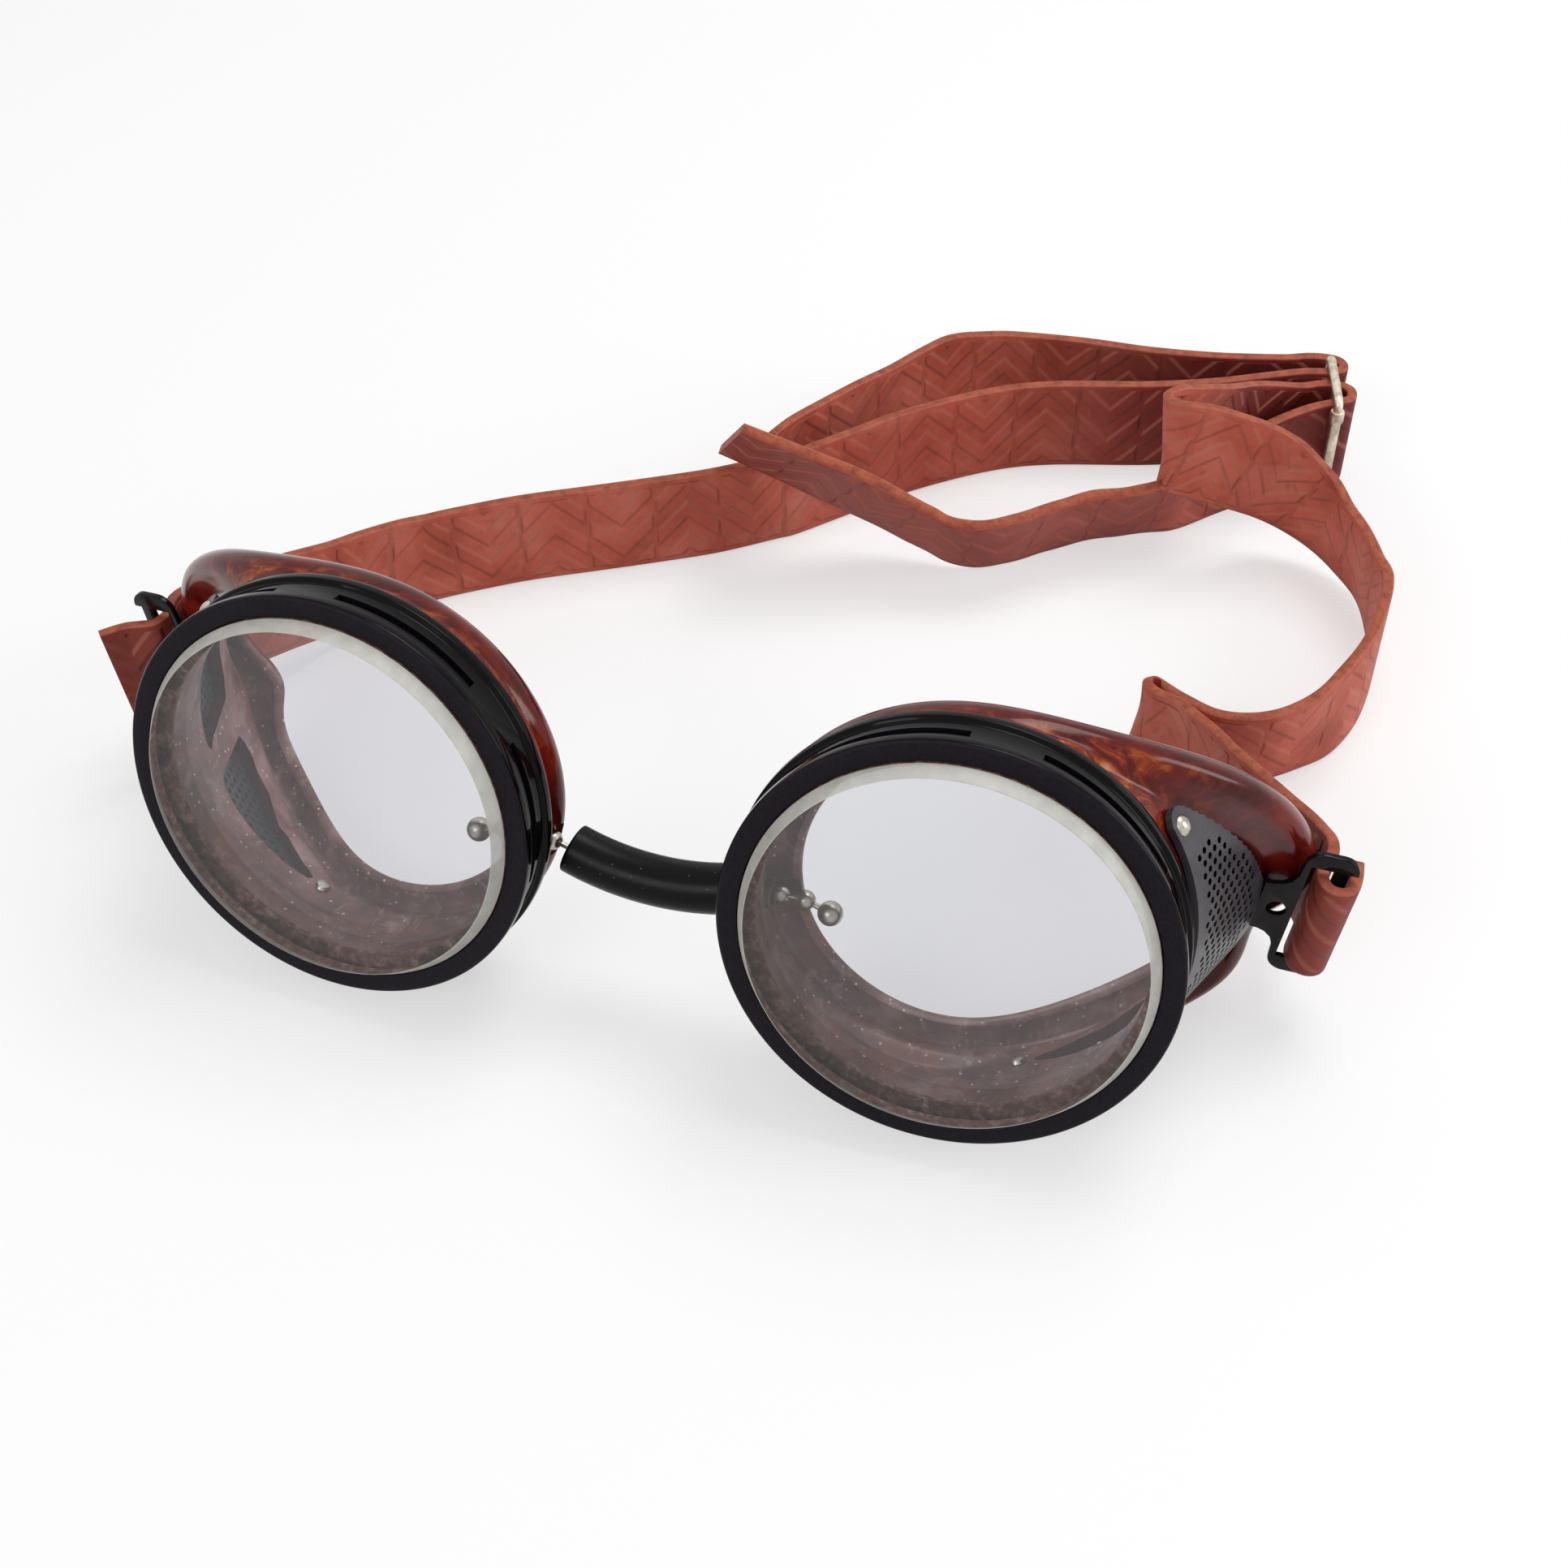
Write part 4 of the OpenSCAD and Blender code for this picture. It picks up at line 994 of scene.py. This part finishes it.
RIGHT_ROUTE = [at_bar(1, w, n) for w, n in ((2.1, 3.4), (2.05, 1), (1.5, -1.3), (0, -2),
                                            (-1.5, -1.3), (-2, 1), (-1, 4))] + [lean(*p) for p in (
    (76.3, 34.5, 16.8, 0.1), (73.5, 38.9, 15.8, 0.05), (68.2, 44.4, 14.9), (64.2, 49, 13.4),
    (60.3, 54, 11.9), (55.4, 59, 10.2, 0.1, -0.05), (51.6, 61.9, 9, 0.17, -0.1),
    (49.7, 63.9, 8.4, 0.17, -0.1), (49.7, 65.7, 8.2, 0.1, -0.1), (51.8, 66.1, 8, 0, -0.15),
    (55.4, 65, 7.9, 0, -0.22), (59.6, 63.8, 7.8, 0, -0.24), (63.8, 64.3, 7.8, 0, -0.24),
    (67.7, 66.4, 7.8, 0, -0.24), (71.3, 70, 7.9, 0, -0.2), (74.4, 74.8, 7.95, -0.05, -0.1),
    (76.8, 81.6, 8, -0.03, -0.03), (77.9, 89.4, 8), (77.8, 96.8, 8), (76.5, 101.4, 8, -0.07, -0.08),
    (73.9, 107.4, 8.4, -0.1, -0.15), (70.2, 111.4, 9.4, -0.05, -0.2), (66, 114.2, 11.2, 0, -0.15),
    (61.3, 115.1, 13.6, -0.05, -0.1), (56, 114.4, 16.6, -0.05), (49.6, 112.2, 19.5, -0.08),
    (44.4, 110.2, 21.5, -0.1), (42.6, 110.8, 21.6, -0.1), (43, 113, 21.2, -0.05), (45.6, 117, 19.4),
    (49, 122.4, 16.6), (52.8, 129.4, 13.2), (57.6, 135.3, 10.2), (61.6, 138.6, 9.6), (64.4, 139.2, 9.6),
    (66.4, 138.2, 9.6), (66.6, 136, 9.6), (65, 134.7, 9.6), (61.2, 132.2, 9.4),
    (55.5, 127.8, 8.7, 0.05, -0.08), (49.5, 121.6, 8.1, 0, -0.25), (43.9, 114.6, 7.8, 0, -0.45, 0.9),
    (38, 110.8, 7.4, 0, -0.5, 0.86), (32.5, 107.6, 7.5, 0, -0.5, 0.86), (28, 103.8, 7.5, 0.03, -0.52, 0.86),
    (23.1, 99.3, 7.5, 0, -0.54, 0.85), (18.6, 96.2, 7.6, 0.03, -0.5, 0.86), (14.4, 95, 8.3, 0, -0.48, 0.87),
    (10, 95, 9.8, 0.06, -0.48, 0.87), (4.5, 94.4, 12.5, 0.1, -0.5, 0.86), (-1.5, 92.9, 16, 0.2, -0.5, 0.85),
    (-8, 91, 19.6, 0.3, -0.52, 0.8), (-18, 88.8, 24.2, 0.41, -0.54, 0.74))]


def strap_stations(route, spacing=0.5):
    """Middle line, width direction and face direction at even steps along a strap."""
    fine = smooth_line(route, 14)
    spots = [Vector(p[:3]) for p in fine]
    ups = [Vector(p[3:6]).normalized() for p in fine]
    lengths = [0.0]
    for a, b in zip(spots, spots[1:]):
        lengths.append(lengths[-1] + (b - a).length)
    count = round(lengths[-1] / spacing)
    stations, k = [], 0
    for i in range(count + 1):
        run = lengths[-1] * i / count
        while k < len(lengths) - 2 and lengths[k + 1] < run:
            k += 1
        t = (run - lengths[k]) / max(1e-9, lengths[k + 1] - lengths[k])
        stations.append((run, spots[k].lerp(spots[k + 1], t), ups[k].lerp(ups[k + 1], t)))
    result = []
    for i, (run, spot, up) in enumerate(stations):
        ahead = (stations[min(i + 2, count)][1] - stations[max(i - 2, 0)][1]).normalized()
        up = (up - ahead * up.dot(ahead)).normalized()
        result.append((run, spot, up, ahead.cross(up)))
    return result


def strap_girth(across_steps=12, corner=0.3):
    """Closed outline of the strap's cross-section as (across, out, cut edge), its corners a little worn."""
    half_w, half_t = STRAP_W / 2, STRAP_T / 2
    flat = [-half_w + corner + (STRAP_W - 2 * corner) * k / across_steps for k in range(across_steps + 1)]
    outline = []
    for turn in (1, -1):
        outline += [(turn * x, turn * half_t, 0) for x in flat]
        outline += [(turn * x, turn * y, cut) for x, y, cut in (
            (half_w - 0.1, half_t - 0.09, 0.6), (half_w, half_t - corner, 1), (half_w, corner - half_t, 1),
            (half_w - 0.1, 0.09 - half_t, 0.6))]
    return outline


def make_strap(name, route, phase):
    """A strap as a grid wrapped along its route and round its girth; phase shifts its embossing."""
    stations = strap_stations(route)
    girth = strap_girth()
    long_count, round_count = len(stations) - 1, len(girth)
    bm = bmesh.new()
    bmesh.ops.create_grid(bm, x_segments=long_count, y_segments=round_count, size=0.5)
    layers = [bm.verts.layers.float.new(key) for key in ("run", "across", "cut")]
    for vert in bm.verts:
        i = round((vert.co.x + 0.5) * long_count)
        j = round((vert.co.y + 0.5) * round_count) % round_count
        run, spot, up, out = stations[i]
        across, lift, edge = girth[j]
        vert.co = spot + up * across + out * lift
        for layer, value in zip(layers, (run + phase, across, edge)):
            vert[layer] = value
    bmesh.ops.remove_doubles(bm, verts=bm.verts, dist=1e-4)
    rims = [e for e in bm.edges if e.is_boundary]
    for cap in bmesh.ops.holes_fill(bm, edges=rims, sides=0)["faces"]:
        for vert in bmesh.ops.inset_individual(bm, faces=[cap], thickness=0.02)["faces"][0].verts:
            vert[layers[2]] = 1
        for vert in cap.verts:
            vert[layers[2]] = 1
    return as_object(name, bm, ROW, [STRAP], sharp=50)


def make_straps():
    for name, side, route, phase in (("left", -1, LEFT_ROUTE, 2.0), ("right", 1, RIGHT_ROUTE, 5.5)):
        piece = make_strap(name + "_band", route, phase)
        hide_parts(name + "_strap")
        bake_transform(piece)


# Buckle
WIRE_R, FRAME_LOW, FRAME_HIGH, FRAME_TURN = 0.7, 0.9, 18.3, 1.2
BAR_LOW, BAR_LEN = 1.65, 15.9
NEAR_WIRE, MIDDLE_BAR, FAR_WIRE = Vector((65.2, 132.4, 0)), Vector((64.3, 136.9, 0)), Vector((62.2, 144.4, 0))
# half the knuckle round the near wire, where the frame's ends meet, as (radius, height)
KNUCKLE = [(0.6, 2.2), (0.84, 2.2), (0.84, 14.6), (1.0, 14.9), (1.12, 15.3), (1.12, 16.6), (1.0, 17),
           (0.6, 17)]


def wire(name, points, closed=False):
    """A bent wire through points in the source's millimetres."""
    curve = bpy.data.curves.new(name, "CURVE")
    curve.dimensions = "3D"
    curve.bevel_depth = WIRE_R
    curve.bevel_resolution = 6
    curve.use_fill_caps = True
    spline = curve.splines.new("POLY")
    spline.points.add(len(points) - 1)
    for spot, p in zip(spline.points, points):
        spot.co = (*p, 1)
    spline.use_cyclic_u = closed
    return as_object(name, surface_of(curve), ROW, [BUCKLE_NICKEL])


def make_buckle():
    """The buckle stands on the table: a wire frame with rounded corners and its middle bar."""
    low, high = Vector((0, 0, FRAME_LOW)), Vector((0, 0, FRAME_HIGH))
    corners = [NEAR_WIRE + low, NEAR_WIRE + high, FAR_WIRE + high, FAR_WIRE + low]
    points = []
    for i, corner in enumerate(corners):
        before, after = corners[i - 1], corners[(i + 1) % 4]
        a = corner + (before - corner).normalized() * FRAME_TURN
        b = corner + (after - corner).normalized() * FRAME_TURN
        for k in range(7):
            t = k / 6
            points.append(a * (1 - t) ** 2 + corner * 2 * t * (1 - t) + b * t * t)
    frame_piece = wire("frame_wire", points, closed=True)
    knuckle = turned(softened(KNUCKLE, 0.08), steps=32)
    join(frame_piece, as_object("knuckle", knuckle, ROW @ Matrix.Translation(NEAR_WIRE), [BUCKLE_NICKEL]))
    fit(frame_piece, "bridge", "nickel", "buckle_frame")
    bar = [MIDDLE_BAR + Vector((0, 0, BAR_LOW + BAR_LEN * k / 8)) for k in range(9)]
    fit(wire("bar_wire", bar), "bridge", "nickel", "buckle_bar")


# Studio
def softbox(name, place, aim, size, power):
    """A rectangular lamp; its place, aim and size are in metres and its power in watts."""
    data = bpy.data.lights.new(name, "AREA")
    data.shape = "RECTANGLE"
    data.size, data.size_y = size
    data.energy = power
    lamp = bpy.data.objects.new(name, data)
    bpy.context.scene.collection.objects.link(lamp)
    turn = (Vector(aim) - Vector(place)).to_track_quat("-Z", "Y")
    lamp.matrix_world = Matrix.Translation(place) @ turn.to_matrix().to_4x4()


def make_studio():
    bm = bmesh.new()
    bmesh.ops.create_grid(bm, x_segments=1, y_segments=1, size=3)
    floor = as_object("floor", bm, moved_by(0, 0, -0.0002), [pale_floor()])
    world = bpy.data.worlds.new("studio")
    bpy.context.scene.world = world
    world.use_nodes = True
    tree = world.node_tree
    tree.nodes.clear()
    room = add(tree, "Background", {"Color": paint(WHITE), "Strength": 0.42})
    sweep = add(tree, "Background", {"Color": paint(WHITE), "Strength": 1.0})
    mixed = add(tree, "MixShader", {0: seen_directly(tree), 1: room.outputs[0], 2: sweep.outputs[0]})
    add(tree, "OutputWorld", {"Surface": mixed.outputs[0]})
    softbox("top", (0.15, 0.25, 0.75), (0, 0, 0), (0.4, 0.4), 2.9)
    softbox("right", (0.7, 0.1, 0.35), (0, 0, 0.02), (0.2, 0.4), 1.6)
    softbox("front", (-0.25, -0.7, 0.5), (0, 0, 0.02), (0.5, 0.35), 2)
    bpy.context.scene.view_settings.view_transform = "Standard"


for cup, cup_side in SIDES.items():
    make_eyecup(cup, cup_side)
    make_ring(cup, cup_side)
    make_lens(cup, cup_side)
    make_rivets(cup, cup_side)
    make_eyelet(cup, cup_side)
    make_shield(cup, cup_side)
    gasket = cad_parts[cup + "_lens_gasket"]
    gasket.data.materials.clear()
    gasket.data.materials.append(SEAT_DUST)
make_chain()
make_sleeve()
make_straps()
make_buckle()
make_studio()
